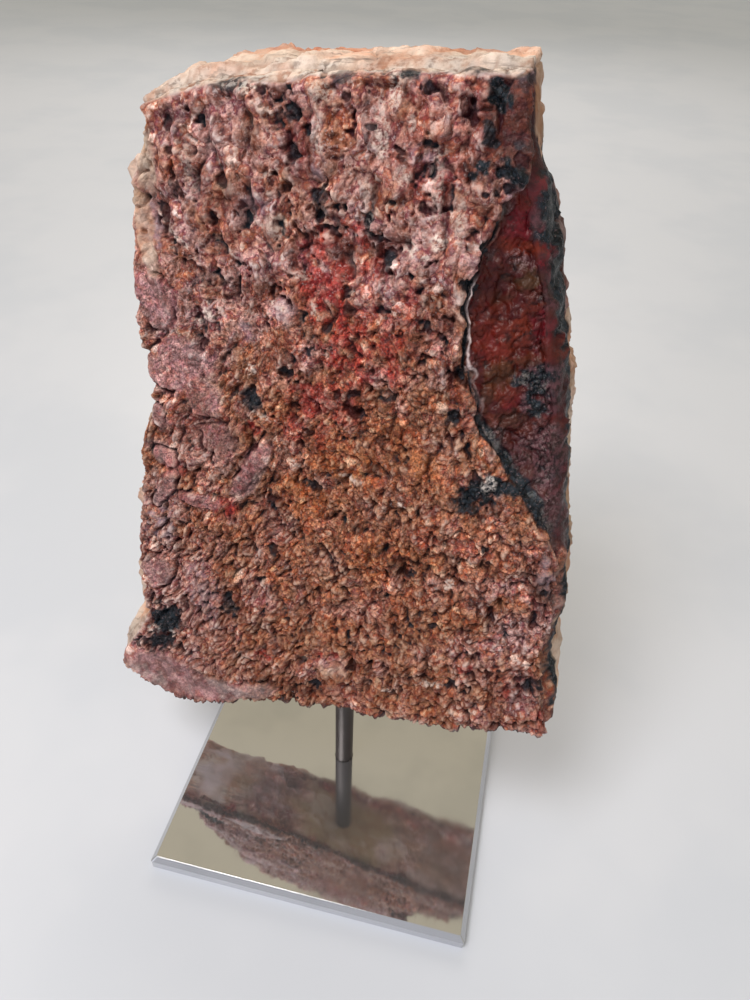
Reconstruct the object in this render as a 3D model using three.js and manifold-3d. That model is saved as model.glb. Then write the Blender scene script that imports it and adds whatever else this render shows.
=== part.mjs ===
// A slab of crusted mineral on a display stand: one natural stone, drilled from below and set
// leaning back on a steel rod, which stands in the middle of a square, polished steel plate.
//
// Millimetres, +Z up. The front of the stone looks towards -Y. The origin is the middle of the
// plate's underside.

import * as THREE from 'three';
import { mergeVertices } from 'three/addons/utils/BufferGeometryUtils.js';
import Module from 'manifold-3d';

const wasm = await Module();
wasm.setup();

// ---------------------------------------------------------------- driving dimensions

const GAP = 0.3; // clearance kept between two pieces that touch

const PLATE_SIDE = 200;
const PLATE_THICKNESS = 10;
const PLATE_BEVEL = 3; // flat 45 degree bevel round the top; the underside's edge is square
const PLATE_CORNER_RADIUS = 1.5; // upright corners, seen from above
const SOCKET_DEPTH = 6; // blind hole in the plate that takes the rod

const ROD_RADIUS = 6;
const ROD_CHAMFER = 0.8;
const ROD_IN_STONE = 30; // length of rod inside the stone

const STONE_LIFT = 105; // plate's top to the stone's underside, along the rod
const STONE_LEAN = 14.5; // degrees, top tilted to the back
const STONE_ROLL = 12; // degrees, right-hand end raised
const STONE_YAW = 5; // degrees, front turned towards -X
const FACE_AHEAD = 27; // front of the stone ahead of the rod where the rod goes in

// The slab's edges in its own axes: X across, Y to the back, Z up along the front. The rod goes in
// at 0, 0, 0. Each pair is a height above the slab's foot and the edge's place across there.
const LEFT_EDGE = [
  [0, -132], [15, -148], [24, -146], [54, -120], [96, -115], [136, -104], [174, -92],
  [194, -80], [258, -76], [282, -73], [304, -69], [314, -60], [330, -58],
];
const RIGHT_EDGE = [
  [0, 126], [24, 127], [34, 122], [62, 125], [76, 131], [190, 131],
  [236, 126], [284, 119], [322, 121], [330, 120],
];
// Each pair is a share of the width from the left, and a height.
const BOTTOM_FRONT_EDGE = [
  [0, -17], [0.1, -25], [0.2, -26], [0.32, -21], [0.52, -18], [0.75, -20], [1, -16],
];
const BOTTOM_BACK_EDGE = [
  [0, 6], [0.45, 6], [0.75, 11], [1, 8],
];
const TOP_FRONT_EDGE = [
  [0, 312], [0.18, 320], [0.45, 316], [0.7, 314], [1, 308],
];
const TOP_BACK_EDGE = [
  [0, 322], [0.22, 332], [0.4, 333], [0.6, 327], [0.85, 319], [1, 317],
];
const SLAB_HEIGHT = 330;

// Thickness of the slab at its corners, front to back.
const THICKNESS = { bottomLeft: 52, bottomRight: 62, topLeft: 58, topRight: 50 };

// The bare patch at the right of the front, where the crust has come away. Each pair is a height and
// the place across of the broken edge of the crust; the patch runs from there to the slab's edge.
const PATCH_EDGE = [
  [76, 133], [85, 129], [117, 120], [137, 102], [162, 93], [185, 88],
  [221, 91], [254, 104], [271, 121], [284, 128],
];
const PATCH_DEPTH = 7; // step down from the crust to the bare surface
const PATCH_FALL = 0.12; // further fall of the patch for each millimetre to the right
const PATCH_STEP_WIDTH = 8; // width over which the crust's edge drops

const EDGE_ROUNDING = 4; // how far the worn outer edges are drawn in
const EDGE_ROUNDING_SHARE = 0.18; // share of the thickness that the rounding takes at each end

// Broken relief, as layers of rolling noise: size of the lumps and how far they move the surface.
const RELIEF_LAYERS = [
  { size: 62, height: 3.6 },
  { size: 27, height: 2.4 },
  { size: 15, height: 1.3 },
];
const OUTLINE_SHARE = 0.5; // share of the relief that moves the slab's outline

const COLUMNS = 26;
const ROWS = 36;
const LAYERS = 5;
const ROUND_SEGMENTS = 48;

// ---------------------------------------------------------------- materials

const polishedSteel = new THREE.MeshStandardMaterial({ color: 0xb9b8b0, roughness: 0.12, metalness: 1 });
const satinSteel = new THREE.MeshStandardMaterial({ color: 0x8f8985, roughness: 0.35, metalness: 1 });
const redBrownCrust = new THREE.MeshStandardMaterial({ color: 0x8a4a38, roughness: 0.6, metalness: 0 });

// ---------------------------------------------------------------- shared helpers

/** A closed THREE geometry as a manifold solid. */
function toSolid(geometry) {
  const bare = geometry.clone();
  bare.deleteAttribute('normal');
  bare.deleteAttribute('uv');
  const merged = mergeVertices(bare, 1e-4);
  return new wasm.Manifold(new wasm.Mesh({
    numProp: 3,
    vertProperties: new Float32Array(merged.attributes.position.array),
    triVerts: new Uint32Array(merged.index.array),
  }));
}

/** A manifold solid as a THREE geometry. */
function toGeometry(solid) {
  const mesh = solid.getMesh();
  const geometry = new THREE.BufferGeometry();
  geometry.setAttribute('position', new THREE.BufferAttribute(mesh.vertProperties, 3));
  geometry.setIndex(new THREE.BufferAttribute(mesh.triVerts, 1));
  geometry.computeVertexNormals();
  return geometry;
}

/** An upright cylinder from one height to another, on the Z axis. */
function uprightCylinder(radius, low, high) {
  const cylinder = new THREE.CylinderGeometry(radius, radius, high - low, ROUND_SEGMENTS);
  cylinder.rotateX(Math.PI / 2);
  cylinder.translate(0, 0, (low + high) / 2);
  return cylinder;
}

/** The value at `at` on a line through pairs of [place, value], eased from pair to pair. */
function along(pairs, at) {
  const next = pairs.findIndex(([place]) => place > at);
  if (next === 0) return pairs[0][1];
  if (next < 0) return pairs[pairs.length - 1][1];
  const [lowPlace, lowValue] = pairs[next - 1];
  const [highPlace, highValue] = pairs[next];
  return THREE.MathUtils.lerp(lowValue, highValue, (at - lowPlace) / (highPlace - lowPlace));
}

/** A fixed pseudo-random number from -1 to 1 for one corner of the noise lattice. */
function latticeValue(x, y, z, channel) {
  let bits = Math.imul(x, 374761393) ^ Math.imul(y, 668265263) ^ Math.imul(z, 2147483647);
  bits = Math.imul(bits ^ Math.imul(channel, 1274126177), 1103515245);
  bits = Math.imul(bits ^ (bits >>> 15), 2246822519);
  return ((bits ^ (bits >>> 13)) >>> 0) / 2147483647.5 - 1;
}

/** Smooth noise from -1 to 1 at a point, with lumps of about unit size. */
function smoothNoise(point, channel) {
  const corner = point.clone().floor();
  const ease = point.clone().sub(corner);
  ease.set(
    THREE.MathUtils.smoothstep(ease.x, 0, 1),
    THREE.MathUtils.smoothstep(ease.y, 0, 1),
    THREE.MathUtils.smoothstep(ease.z, 0, 1),
  );
  let sum = 0;
  for (let step = 0; step < 8; step += 1) {
    const [dx, dy, dz] = [step & 1, (step >> 1) & 1, step >> 2];
    const weight = (dx ? ease.x : 1 - ease.x) * (dy ? ease.y : 1 - ease.y) * (dz ? ease.z : 1 - ease.z);
    sum += weight * latticeValue(corner.x + dx, corner.y + dy, corner.z + dz, channel);
  }
  return sum;
}

// ---------------------------------------------------------------- base plate

/** The square plate, bevelled round the top, with a blind socket for the rod. */
function basePlate() {
  const half = PLATE_SIDE / 2 - PLATE_BEVEL;
  const radius = PLATE_CORNER_RADIUS;
  const outline = new THREE.Shape();
  outline.absarc(half - radius, half - radius, radius, 0, Math.PI / 2);
  outline.absarc(radius - half, half - radius, radius, Math.PI / 2, Math.PI);
  outline.absarc(radius - half, radius - half, radius, Math.PI, Math.PI * 1.5);
  outline.absarc(half - radius, radius - half, radius, Math.PI * 1.5, Math.PI * 2);
  const slab = new THREE.ExtrudeGeometry(outline, {
    depth: PLATE_THICKNESS,
    bevelThickness: PLATE_BEVEL,
    bevelSize: PLATE_BEVEL,
    bevelSegments: 1,
    curveSegments: 5,
  });
  slab.translate(0, 0, -PLATE_BEVEL);
  const below = new THREE.BoxGeometry(PLATE_SIDE * 2, PLATE_SIDE * 2, PLATE_THICKNESS);
  below.translate(0, 0, -PLATE_THICKNESS / 2);
  const socket = uprightCylinder(ROD_RADIUS + GAP, PLATE_THICKNESS - SOCKET_DEPTH, PLATE_THICKNESS + 1);
  return toGeometry(toSolid(slab).subtract(toSolid(below)).subtract(toSolid(socket)));
}

// ---------------------------------------------------------------- rod

/** The plain round rod, chamfered at both ends, from the plate's socket up into the stone. */
function rod() {
  const low = PLATE_THICKNESS - SOCKET_DEPTH + GAP;
  const high = PLATE_THICKNESS + STONE_LIFT + ROD_IN_STONE;
  const profile = [
    new THREE.Vector2(0, low),
    new THREE.Vector2(ROD_RADIUS - ROD_CHAMFER, low),
    new THREE.Vector2(ROD_RADIUS, low + ROD_CHAMFER),
    new THREE.Vector2(ROD_RADIUS, high - ROD_CHAMFER),
    new THREE.Vector2(ROD_RADIUS - ROD_CHAMFER, high),
    new THREE.Vector2(0, high),
  ];
  const turned = new THREE.LatheGeometry(profile, ROUND_SEGMENTS);
  turned.rotateX(Math.PI / 2);
  return turned;
}

// ---------------------------------------------------------------- stone

/** How far the front is set back at a place on it: nothing on the crust, more on the bare patch. */
function patchSetBack(across, height) {
  const edge = along(PATCH_EDGE, height);
  const inPatch = height > PATCH_EDGE[0][0] && height < PATCH_EDGE[PATCH_EDGE.length - 1][0];
  if (!inPatch || across < edge) return 0;
  const drop = THREE.MathUtils.smoothstep(across, edge, edge + PATCH_STEP_WIDTH);
  return drop * (PATCH_DEPTH + PATCH_FALL * (across - edge));
}

/** A point of the slab from its shares of the width, the thickness and the height, each 0 to 1. */
function slabPoint(width, depth, rise) {
  const height = rise * SLAB_HEIGHT;
  const foot = THREE.MathUtils.lerp(along(BOTTOM_FRONT_EDGE, width), along(BOTTOM_BACK_EDGE, width), depth);
  const top = THREE.MathUtils.lerp(along(TOP_FRONT_EDGE, width), along(TOP_BACK_EDGE, width), depth);
  const z = THREE.MathUtils.lerp(foot, top, rise);
  const x = THREE.MathUtils.lerp(along(LEFT_EDGE, height), along(RIGHT_EDGE, height), width);
  const low = THREE.MathUtils.lerp(THICKNESS.bottomLeft, THICKNESS.bottomRight, width);
  const high = THREE.MathUtils.lerp(THICKNESS.topLeft, THICKNESS.topRight, width);
  const thickness = THREE.MathUtils.lerp(low, high, rise);
  const setBack = patchSetBack(x, z) * (1 - depth);
  return new THREE.Vector3(x, depth * thickness - FACE_AHEAD + setBack, z);
}

/** How far the outline is drawn in at a share of the thickness, to ease the slab's outer edges. */
function edgeInset(depth) {
  const nearest = Math.min(depth, 1 - depth) / EDGE_ROUNDING_SHARE;
  return EDGE_ROUNDING * (1 - THREE.MathUtils.smoothstep(nearest, 0, 1));
}

/** The broken relief at a point: a smooth push that grows to both sides of nothing. */
function relief(point) {
  const push = new THREE.Vector3();
  RELIEF_LAYERS.forEach(({ size, height }, layer) => {
    const sample = point.clone().divideScalar(size);
    push.x += height * OUTLINE_SHARE * smoothNoise(sample, layer * 3);
    push.y += height * smoothNoise(sample, layer * 3 + 1);
    push.z += height * OUTLINE_SHARE * smoothNoise(sample, layer * 3 + 2);
  });
  return push;
}

/** The stone: a box of small faces, shaped to the slab's edges, broken all over, then drilled. */
function stone() {
  const slab = new THREE.BoxGeometry(1, 1, 1, COLUMNS, LAYERS, ROWS);
  const places = slab.attributes.position;
  for (let index = 0; index < places.count; index += 1) {
    const width = places.getX(index) + 0.5;
    const depth = places.getY(index) + 0.5;
    const rise = places.getZ(index) + 0.5;
    const point = slabPoint(width, depth, rise);
    const inset = edgeInset(depth);
    point.x -= inset * (2 * width - 1) ** 5;
    point.z -= inset * (2 * rise - 1) ** 7;
    point.add(relief(point));
    places.setXYZ(index, point.x, point.y, point.z);
  }
  const drill = uprightCylinder(ROD_RADIUS + GAP, -STONE_LIFT / 2, ROD_IN_STONE + GAP);
  drill.applyQuaternion(stoneTurn().invert());
  return toGeometry(toSolid(slab).subtract(toSolid(drill)));
}

/** The turn from the slab's own axes to the stand's: rolled, then leaned back, then turned. */
function stoneTurn() {
  const turn = new THREE.Euler(
    -THREE.MathUtils.degToRad(STONE_LEAN),
    -THREE.MathUtils.degToRad(STONE_ROLL),
    -THREE.MathUtils.degToRad(STONE_YAW),
    'ZXY',
  );
  return new THREE.Quaternion().setFromEuler(turn);
}

// ---------------------------------------------------------------- assembly

/** A named mesh. */
function piece(name, geometry, material) {
  const mesh = new THREE.Mesh(geometry, material);
  mesh.name = name;
  return mesh;
}

const displayStone = new THREE.Group();
displayStone.add(piece('base_plate', basePlate(), polishedSteel));
displayStone.add(piece('rod', rod(), satinSteel));

const leaningStone = new THREE.Group();
leaningStone.position.set(0, 0, PLATE_THICKNESS + STONE_LIFT);
leaningStone.quaternion.copy(stoneTurn());
leaningStone.add(piece('stone', stone(), redBrownCrust));
displayStone.add(leaningStone);

export default displayStone;
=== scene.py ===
"""A slab of crusted mineral, leaning back on a steel rod and plate, set on a pale floor.

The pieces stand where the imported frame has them. Blender's lengths are metres. The stone is shaped in
its own axes, in millimetres: X across, Y to the back, Z up along its front, with the rod's entry at 0.
"""

import logging
import math
from contextlib import contextmanager
from dataclasses import dataclass, field
from enum import Enum
from typing import Iterator

import bpy
import numpy as np
from mathutils import Matrix, Vector


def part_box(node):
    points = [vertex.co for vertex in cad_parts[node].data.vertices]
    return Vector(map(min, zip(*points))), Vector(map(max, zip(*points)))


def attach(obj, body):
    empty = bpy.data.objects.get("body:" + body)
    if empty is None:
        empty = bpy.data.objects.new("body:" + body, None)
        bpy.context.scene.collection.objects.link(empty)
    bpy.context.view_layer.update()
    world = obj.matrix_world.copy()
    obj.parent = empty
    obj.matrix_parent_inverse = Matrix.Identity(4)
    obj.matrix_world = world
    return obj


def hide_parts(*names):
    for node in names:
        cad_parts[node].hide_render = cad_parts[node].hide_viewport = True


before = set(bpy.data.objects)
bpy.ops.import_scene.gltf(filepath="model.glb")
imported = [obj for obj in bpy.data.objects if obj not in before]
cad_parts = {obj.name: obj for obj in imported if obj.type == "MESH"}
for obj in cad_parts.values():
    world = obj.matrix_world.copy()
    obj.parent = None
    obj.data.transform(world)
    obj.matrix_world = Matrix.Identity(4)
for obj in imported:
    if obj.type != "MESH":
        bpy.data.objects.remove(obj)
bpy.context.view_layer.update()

BODY = "root"
MM = 0.001
# A lattice cell's numbers times this give a fresh set of numbers.
SHUFFLE = 97.31
# Points this near each other are one, in metres.
MERGE = 0.00001
# The attribute that keeps the plain stone's normals while the relief is worked out.
REST = "rest_normal"
# A turn that takes noise off the stone's own axes.
SKEW = np.array(Matrix.Rotation(0.6, 3, "Y") @ Matrix.Rotation(0.4, 3, "X"))
# What each of the stone's colour attributes carries in its red, green, blue and alpha.
SHARES = {
    # Hollow and shade carry painted shade, and crest carries painted highlight.
    "relief": ("hollow", "crest", "shade"),
    "tints": ("red", "ochre", "plum", "tan"),
    "marks": ("black", "pale", "lilac", "line"),
    "zones": ("bare", "skin", "rock", "plum_rock"),
    "lumps": ("lump", "small_lump", "grain"),
}

Array = np.ndarray
Socket = bpy.types.NodeSocket
Node = bpy.types.Node
Tree = bpy.types.NodeTree
Material = bpy.types.Material
Mesh = bpy.types.Mesh
Piece = bpy.types.Object
Colour = tuple[float, float, float, float]
Triple = tuple[float, float, float]

log = logging.getLogger("display_stone")


# ---- small helpers


def colour(code: str) -> Colour:
    """Turns a screen colour into the linear one that a shader takes.

    Args:
        code: Six hexadecimal digits: red, green, blue.

    Returns:
        Linear red, green and blue, and an alpha of one.
    """
    shares = [int(code[i:i + 2], 16) / 255 for i in (0, 2, 4)]
    linear = [s / 12.92 if s <= 0.04045 else ((s + 0.055) / 1.055) ** 2.4 for s in shares]
    return (*linear, 1.0)


def colours(*codes: str) -> tuple[Colour, ...]:
    """Turns a row of screen colours into linear ones."""
    return tuple(colour(code) for code in codes)


def ease(low: float, high: float, value: Array) -> Array:
    """Goes smoothly from 0 to 1 as a value goes from one limit to the other.

    Args:
        low: Where the result is 0.
        high: Where the result is 1; it may be below `low`.
        value: The values.

    Returns:
        The eased values, 0 to 1.
    """
    share = np.clip((value - low) / (high - low), 0, 1)
    return share * share * (3 - 2 * share)


def cell_random(corner: Array, channel: int) -> Array:
    """Draws three fixed random numbers for each cell of a lattice, the same ones on every run.

    Args:
        corner: Whole-numbered cell places, N by 3.
        channel: Which of many independent draws.

    Returns:
        N by 3 numbers from 0 to 1.
    """
    whole = corner.astype(np.int64).astype(np.uint64)
    bits = whole[:, 0] * np.uint64(0x9E3779B97F4A7C15)
    bits ^= whole[:, 1] * np.uint64(0xC2B2AE3D27D4EB4F)
    bits ^= whole[:, 2] * np.uint64(0x165667B19E3779F9)
    bits += np.uint64(channel * 0x27D4EB2F165667 + 0x51ED270B)
    for shift, factor in ((30, 0xBF58476D1CE4E5B9), (27, 0x94D049BB133111EB)):
        bits = (bits ^ (bits >> np.uint64(shift))) * np.uint64(factor)
    bits ^= bits >> np.uint64(31)
    chunk = np.uint64(0x1FFFFF)
    return np.stack([(bits >> np.uint64(s)) & chunk for s in (0, 21, 42)], axis=1) / float(chunk)


def rolling(places: Array, size: float, channel: int) -> Array:
    """Smooth noise from -1 to 1, one value for each of three directions.

    Args:
        places: Points, N by 3, in millimetres.
        size: Width of one roll, in millimetres.
        channel: Which independent noise.

    Returns:
        N by 3 values.
    """
    spots = places / size
    corner = np.floor(spots)
    share = spots - corner
    share = share * share * (3 - 2 * share)
    total = np.zeros((len(places), 3))
    for step in range(8):
        offset = np.array([step & 1, (step >> 1) & 1, step >> 2])
        weight = np.prod(np.where(offset, share, 1 - share), axis=1)
        total += weight[:, None] * cell_random(corner + offset, channel)
    return total * 2 - 1


def ripples(places: Array, *layers: tuple[float, int, float]) -> Array:
    """Sums layers of smooth noise.

    Args:
        places: Points, N by 3, in millimetres.
        *layers: Each layer's size in millimetres, its channel and its strength.

    Returns:
        One value for each point.
    """
    return sum(rolling(places, size, channel)[:, 0] * strength for size, channel, strength in layers)


@dataclass
class Packing:
    """What each point finds in a packing of seeds scattered one to a cell, distances in cells."""

    nearest: Array
    margin: Array
    tag: Array
    away: Array
    smooth: Array
    tipped: Array


def pack_cells(places: Array, size: Triple, channel: int, merge: float = 9.0) -> Packing:
    """Finds the nearest of seeds scattered one to a cell.

    Args:
        places: Points, N by 3, in millimetres.
        size: Cell size along each axis, in millimetres.
        channel: Which independent scatter.
        merge: How little neighbouring cells melt into each other.

    Returns:
        Distance to the nearest seed; how much farther the next one is; the nearest seed's own three random
        numbers; the way from it to the point; the distance with the creases melted; and how high a plane
        tipped at random about each seed stands, melted likewise.
    """
    spots = places / np.array(size)
    corner = np.floor(spots)
    nearest = np.full(len(places), np.inf)
    second = nearest.copy()
    tag = np.zeros((len(places), 3))
    away = np.zeros((len(places), 3))
    total, tipped = np.zeros(len(places)), np.zeros(len(places))
    for step in range(27):
        cell = corner + np.array([step % 3 - 1, step // 3 % 3 - 1, step // 9 - 1])
        seed = cell_random(cell, channel)
        way = spots - cell - seed
        squared = (way ** 2).sum(axis=1)
        weight = np.exp(-merge * squared)
        total += weight
        tipped += weight * (((seed * SHUFFLE) % 1.0 - 0.5) * way).sum(axis=1)
        gap = np.sqrt(squared)
        closer = gap < nearest
        second = np.where(closer, nearest, np.minimum(second, gap))
        tag[closer] = seed[closer]
        away[closer] = way[closer]
        nearest = np.where(closer, gap, nearest)
    smooth = np.sqrt(np.clip(-np.log(total + 1e-12) / merge, 0, 1))
    return Packing(nearest, second - nearest, (tag * SHUFFLE) % 1.0, away, smooth, tipped / (total + 1e-12))


def domes(places: Array, size: Triple, channel: int, tilt: float = 0.0) -> tuple[Array, Array, Array]:
    """Rounded lumps packed side by side, each tipped its own way.

    Args:
        places: Points, N by 3, in millimetres.
        size: Size of a lump along each axis, in millimetres.
        channel: Which independent scatter.
        tilt: How far the lumps are tipped.

    Returns:
        Height from about 0 between the lumps to 1 on the tops, how near a crease is (1 in it), and one
        random number for each lump.
    """
    packing = pack_cells(places, size, channel)
    height = 1 - packing.smooth ** 2 / 0.6 + tilt * packing.tipped
    return height, 1 - ease(0.0, 0.16, packing.margin), packing.tag[:, 0]


# ---- shader node help


class Nodes:
    """Short calls that add and join nodes in one node tree."""

    def __init__(self, tree: Tree) -> None:
        """Keeps the tree that is built."""
        self.tree = tree

    def feed(self, socket: Socket, value: object) -> None:
        """Links a socket to another, or sets its value."""
        if isinstance(value, bpy.types.NodeSocket):
            self.tree.links.new(value, socket)
        else:
            socket.default_value = value

    def add(self, kind: str, inputs: dict[str | int, object] | None = None, **settings: object) -> Node:
        """Adds one node.

        Args:
            kind: The node's type name.
            inputs: A value or a socket for each input, by name or number.
            **settings: The node's own properties.

        Returns:
            The node.
        """
        node = self.tree.nodes.new(kind)
        for name, value in settings.items():
            setattr(node, name, value)
        for name, value in (inputs or {}).items():
            self.feed(node.inputs[name], value)
        return node

    def math(self, operation: str, first: object, second: object = 0.0, third: object = 0.0) -> Socket:
        """Adds one sum on numbers."""
        return self.add("ShaderNodeMath", {0: first, 1: second, 2: third}, operation=operation).outputs[0]

    def times(self, first: object, second: object) -> Socket:
        """One number times another."""
        return self.math("MULTIPLY", first, second)

    def mix(self, share: object, first: object, second: object, blend: str = "MIX") -> Socket:
        """Mixes two colours.

        Args:
            share: How much of the second.
            first: The colour under.
            second: The colour over.
            blend: How they mix.

        Returns:
            The mixed colour.
        """
        node = self.add("ShaderNodeMix", {0: share, 6: first, 7: second}, data_type="RGBA", blend_type=blend)
        return node.outputs[2]

    def range(self, value: object, low: float, high: float, start: float = 0.0, end: float = 1.0) -> Socket:
        """Maps a value smoothly from one range to another.

        Args:
            value: The value.
            low: Where the result is `start`.
            high: Where the result is `end`.
            start: The result's first limit.
            end: The result's other limit.

        Returns:
            The mapped value.
        """
        inputs = {"Value": value, "From Min": low, "From Max": high, "To Min": start, "To Max": end}
        node = self.add("ShaderNodeMapRange", inputs, interpolation_type="SMOOTHSTEP")
        return node.outputs["Result"]

    def brighten(self, tint: object, level: Socket) -> Socket:
        """A colour times a number."""
        grey = self.add("ShaderNodeCombineColor", {0: level, 1: level, 2: level}).outputs[0]
        return self.mix(1.0, tint, grey, "MULTIPLY")

    def ramp(self, value: Socket, row: tuple[Colour, ...]) -> Socket:
        """Runs evenly through a row of colours as a value goes from 0 to 1.

        Args:
            value: The value.
            row: The colours.

        Returns:
            The colour at the value.
        """
        node = self.add("ShaderNodeValToRGB", {0: value})
        stops = node.color_ramp.elements
        for number in range(1, len(row) - 1):
            stops.new(number / (len(row) - 1))
        for stop, tint in zip(stops, row):
            stop.color = tint
        return node.outputs["Color"]

    def scaled(self, place: Socket, size: Socket) -> Socket:
        """A place measured in steps of a size instead of metres."""
        turns = self.math("DIVIDE", 1.0, size)
        return self.add("ShaderNodeVectorMath", {0: place, "Scale": turns}, operation="SCALE").outputs[0]

    def stretched(self, place: Socket, scale: tuple, turn: tuple = (0, 0, 0)) -> Socket:
        """A place turned and scaled differently along each axis."""
        return self.add("ShaderNodeMapping", {"Vector": place, "Rotation": turn, "Scale": scale}).outputs[0]

    def noise(self, place: Socket, scale: float, detail: float = 3.0, rough: float = 0.55) -> Socket:
        """Adds a noise texture, 0 to 1."""
        inputs = {"Vector": place, "Scale": scale, "Detail": detail, "Roughness": rough}
        return self.add("ShaderNodeTexNoise", inputs).outputs["Fac"]

    def group(self, tree: Tree, inputs: dict[str, object]) -> Node:
        """Places a node group with its inputs fed."""
        return self.add("ShaderNodeGroup", inputs, node_tree=tree)


class Kind(Enum):
    """The kinds of socket that the node groups have."""

    NUMBER = "NodeSocketFloat"
    COLOUR = "NodeSocketColor"
    VECTOR = "NodeSocketVector"


def new_group(
    name: str, inputs: dict[str, Kind], outputs: dict[str, Kind]
) -> tuple[Tree, Nodes, dict[str, Socket], Node]:
    """Starts a shader node group.

    Args:
        name: The group's name.
        inputs: Its inputs' names and kinds.
        outputs: Its outputs' names and kinds.

    Returns:
        The group, a builder for its tree, its input sockets by name, and its output node.
    """
    tree = bpy.data.node_groups.new(name, "ShaderNodeTree")
    for label, kind in inputs.items():
        tree.interface.new_socket(label, in_out="INPUT", socket_type=kind.value)
    for label, kind in outputs.items():
        tree.interface.new_socket(label, in_out="OUTPUT", socket_type=kind.value)
    nodes = Nodes(tree)
    start = nodes.add("NodeGroupInput")
    end = nodes.add("NodeGroupOutput")
    return tree, nodes, {label: start.outputs[label] for label in inputs}, end


class Effects:
    """The shader node groups that the finishes share, each built once."""

    def __init__(self) -> None:
        """Builds the groups."""
        self.grit = self._grit()
        self.mottle = self._mottle()
        self.relief_shade = self._relief_shade()
        self.handling = self._handling()

    @staticmethod
    def _grit() -> Tree:
        """Fine crystalline grit: a height, and a value that changes from grain to grain.

        Returns:
            The group.
        """
        wanted = {"Place": Kind.VECTOR, "Size": Kind.NUMBER}
        made = {"Height": Kind.NUMBER, "Grain": Kind.NUMBER}
        tree, nodes, given, end = new_group("Fine grit", wanted, made)
        spot = nodes.scaled(given["Place"], given["Size"])
        crystal = nodes.add("ShaderNodeTexVoronoi", {"Vector": spot, "Scale": 1.0}, feature="F1")
        fine = nodes.times(nodes.noise(spot, 1.7, 4.0, 0.65), 0.6)
        bump = nodes.math("SUBTRACT", 1.0, crystal.outputs["Distance"])
        nodes.feed(end.inputs["Height"], nodes.math("MULTIPLY_ADD", bump, 0.6, fine))
        split = nodes.add("ShaderNodeSeparateColor", {0: crystal.outputs["Color"]})
        nodes.feed(end.inputs["Grain"], split.outputs[0])
        return tree

    @staticmethod
    def _mottle() -> Tree:
        """Uneven clouds of a second colour over the first.

        Returns:
            The group.
        """
        wanted = {
            "Place": Kind.VECTOR, "Size": Kind.NUMBER, "Under": Kind.COLOUR,
            "Over": Kind.COLOUR, "Cover": Kind.NUMBER,
        }
        tree, nodes, given, end = new_group("Mottle", wanted, {"Colour": Kind.COLOUR})
        cloud = nodes.noise(nodes.scaled(given["Place"], given["Size"]), 1.0, 4.0, 0.6)
        level = nodes.math("ADD", cloud, nodes.math("MULTIPLY_ADD", given["Cover"], 0.5, -0.25))
        clouded = nodes.mix(nodes.range(level, 0.42, 0.6), given["Under"], given["Over"])
        nodes.feed(end.inputs["Colour"], clouded)
        return tree

    @staticmethod
    def _relief_shade() -> Tree:
        """Painted shade in hollows, and painted highlights on tops.

        Returns:
            The group.
        """
        wanted = {
            "Colour": Kind.COLOUR, "Hollow": Kind.NUMBER, "Crest": Kind.NUMBER,
            "Painted shade": Kind.COLOUR, "Painted highlight": Kind.COLOUR,
        }
        tree, nodes, given, end = new_group("Relief shade", wanted, {"Colour": Kind.COLOUR})
        pale_and_highlight = nodes.mix(given["Crest"], given["Colour"], given["Painted highlight"])
        nodes.feed(end.inputs["Colour"], nodes.mix(given["Hollow"], pale_and_highlight, given["Painted shade"]))
        return tree

    @staticmethod
    def _handling() -> Tree:
        """Hairline scratches and soft smears of a handled metal.

        Returns:
            The group.
        """
        wanted = {"Place": Kind.VECTOR, "Base": Kind.NUMBER, "Smear": Kind.NUMBER}
        made = {"Roughness": Kind.NUMBER, "Height": Kind.NUMBER, "Smear": Kind.NUMBER}
        tree, nodes, given, end = new_group("Handling", wanted, made)
        cloud = nodes.range(nodes.noise(given["Place"], 16.0, 3.0, 0.6), 0.42, 0.72)
        lines = []
        for angle in (0.5, -0.9):
            along = nodes.stretched(given["Place"], (900.0, 22.0, 60.0), (0, 0, angle))
            lines.append(nodes.range(nodes.noise(along, 1.0, 1.0, 0.4), 0.66, 0.74))
        scratch = nodes.math("MAXIMUM", *lines)
        smeared = nodes.math("ADD", given["Base"], nodes.times(cloud, given["Smear"]))
        nodes.feed(end.inputs["Roughness"], nodes.math("MULTIPLY_ADD", scratch, 0.03, smeared))
        nodes.feed(end.inputs["Height"], nodes.math("SUBTRACT", 1.0, scratch))
        nodes.feed(end.inputs["Smear"], cloud)
        return tree


def new_material(name: str) -> tuple[Material, Nodes, Node, Socket]:
    """Starts a material with a Principled shader.

    Args:
        name: The material's name.

    Returns:
        The material, a builder for its tree, its shader, and the object's own coordinates.
    """
    material = bpy.data.materials.new(name)
    material.use_nodes = True
    nodes = Nodes(material.node_tree)
    shader = next(n for n in material.node_tree.nodes if n.type == "BSDF_PRINCIPLED")
    place = nodes.add("ShaderNodeTexCoord").outputs["Object"]
    return material, nodes, shader, place


# ---- finishes


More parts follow.
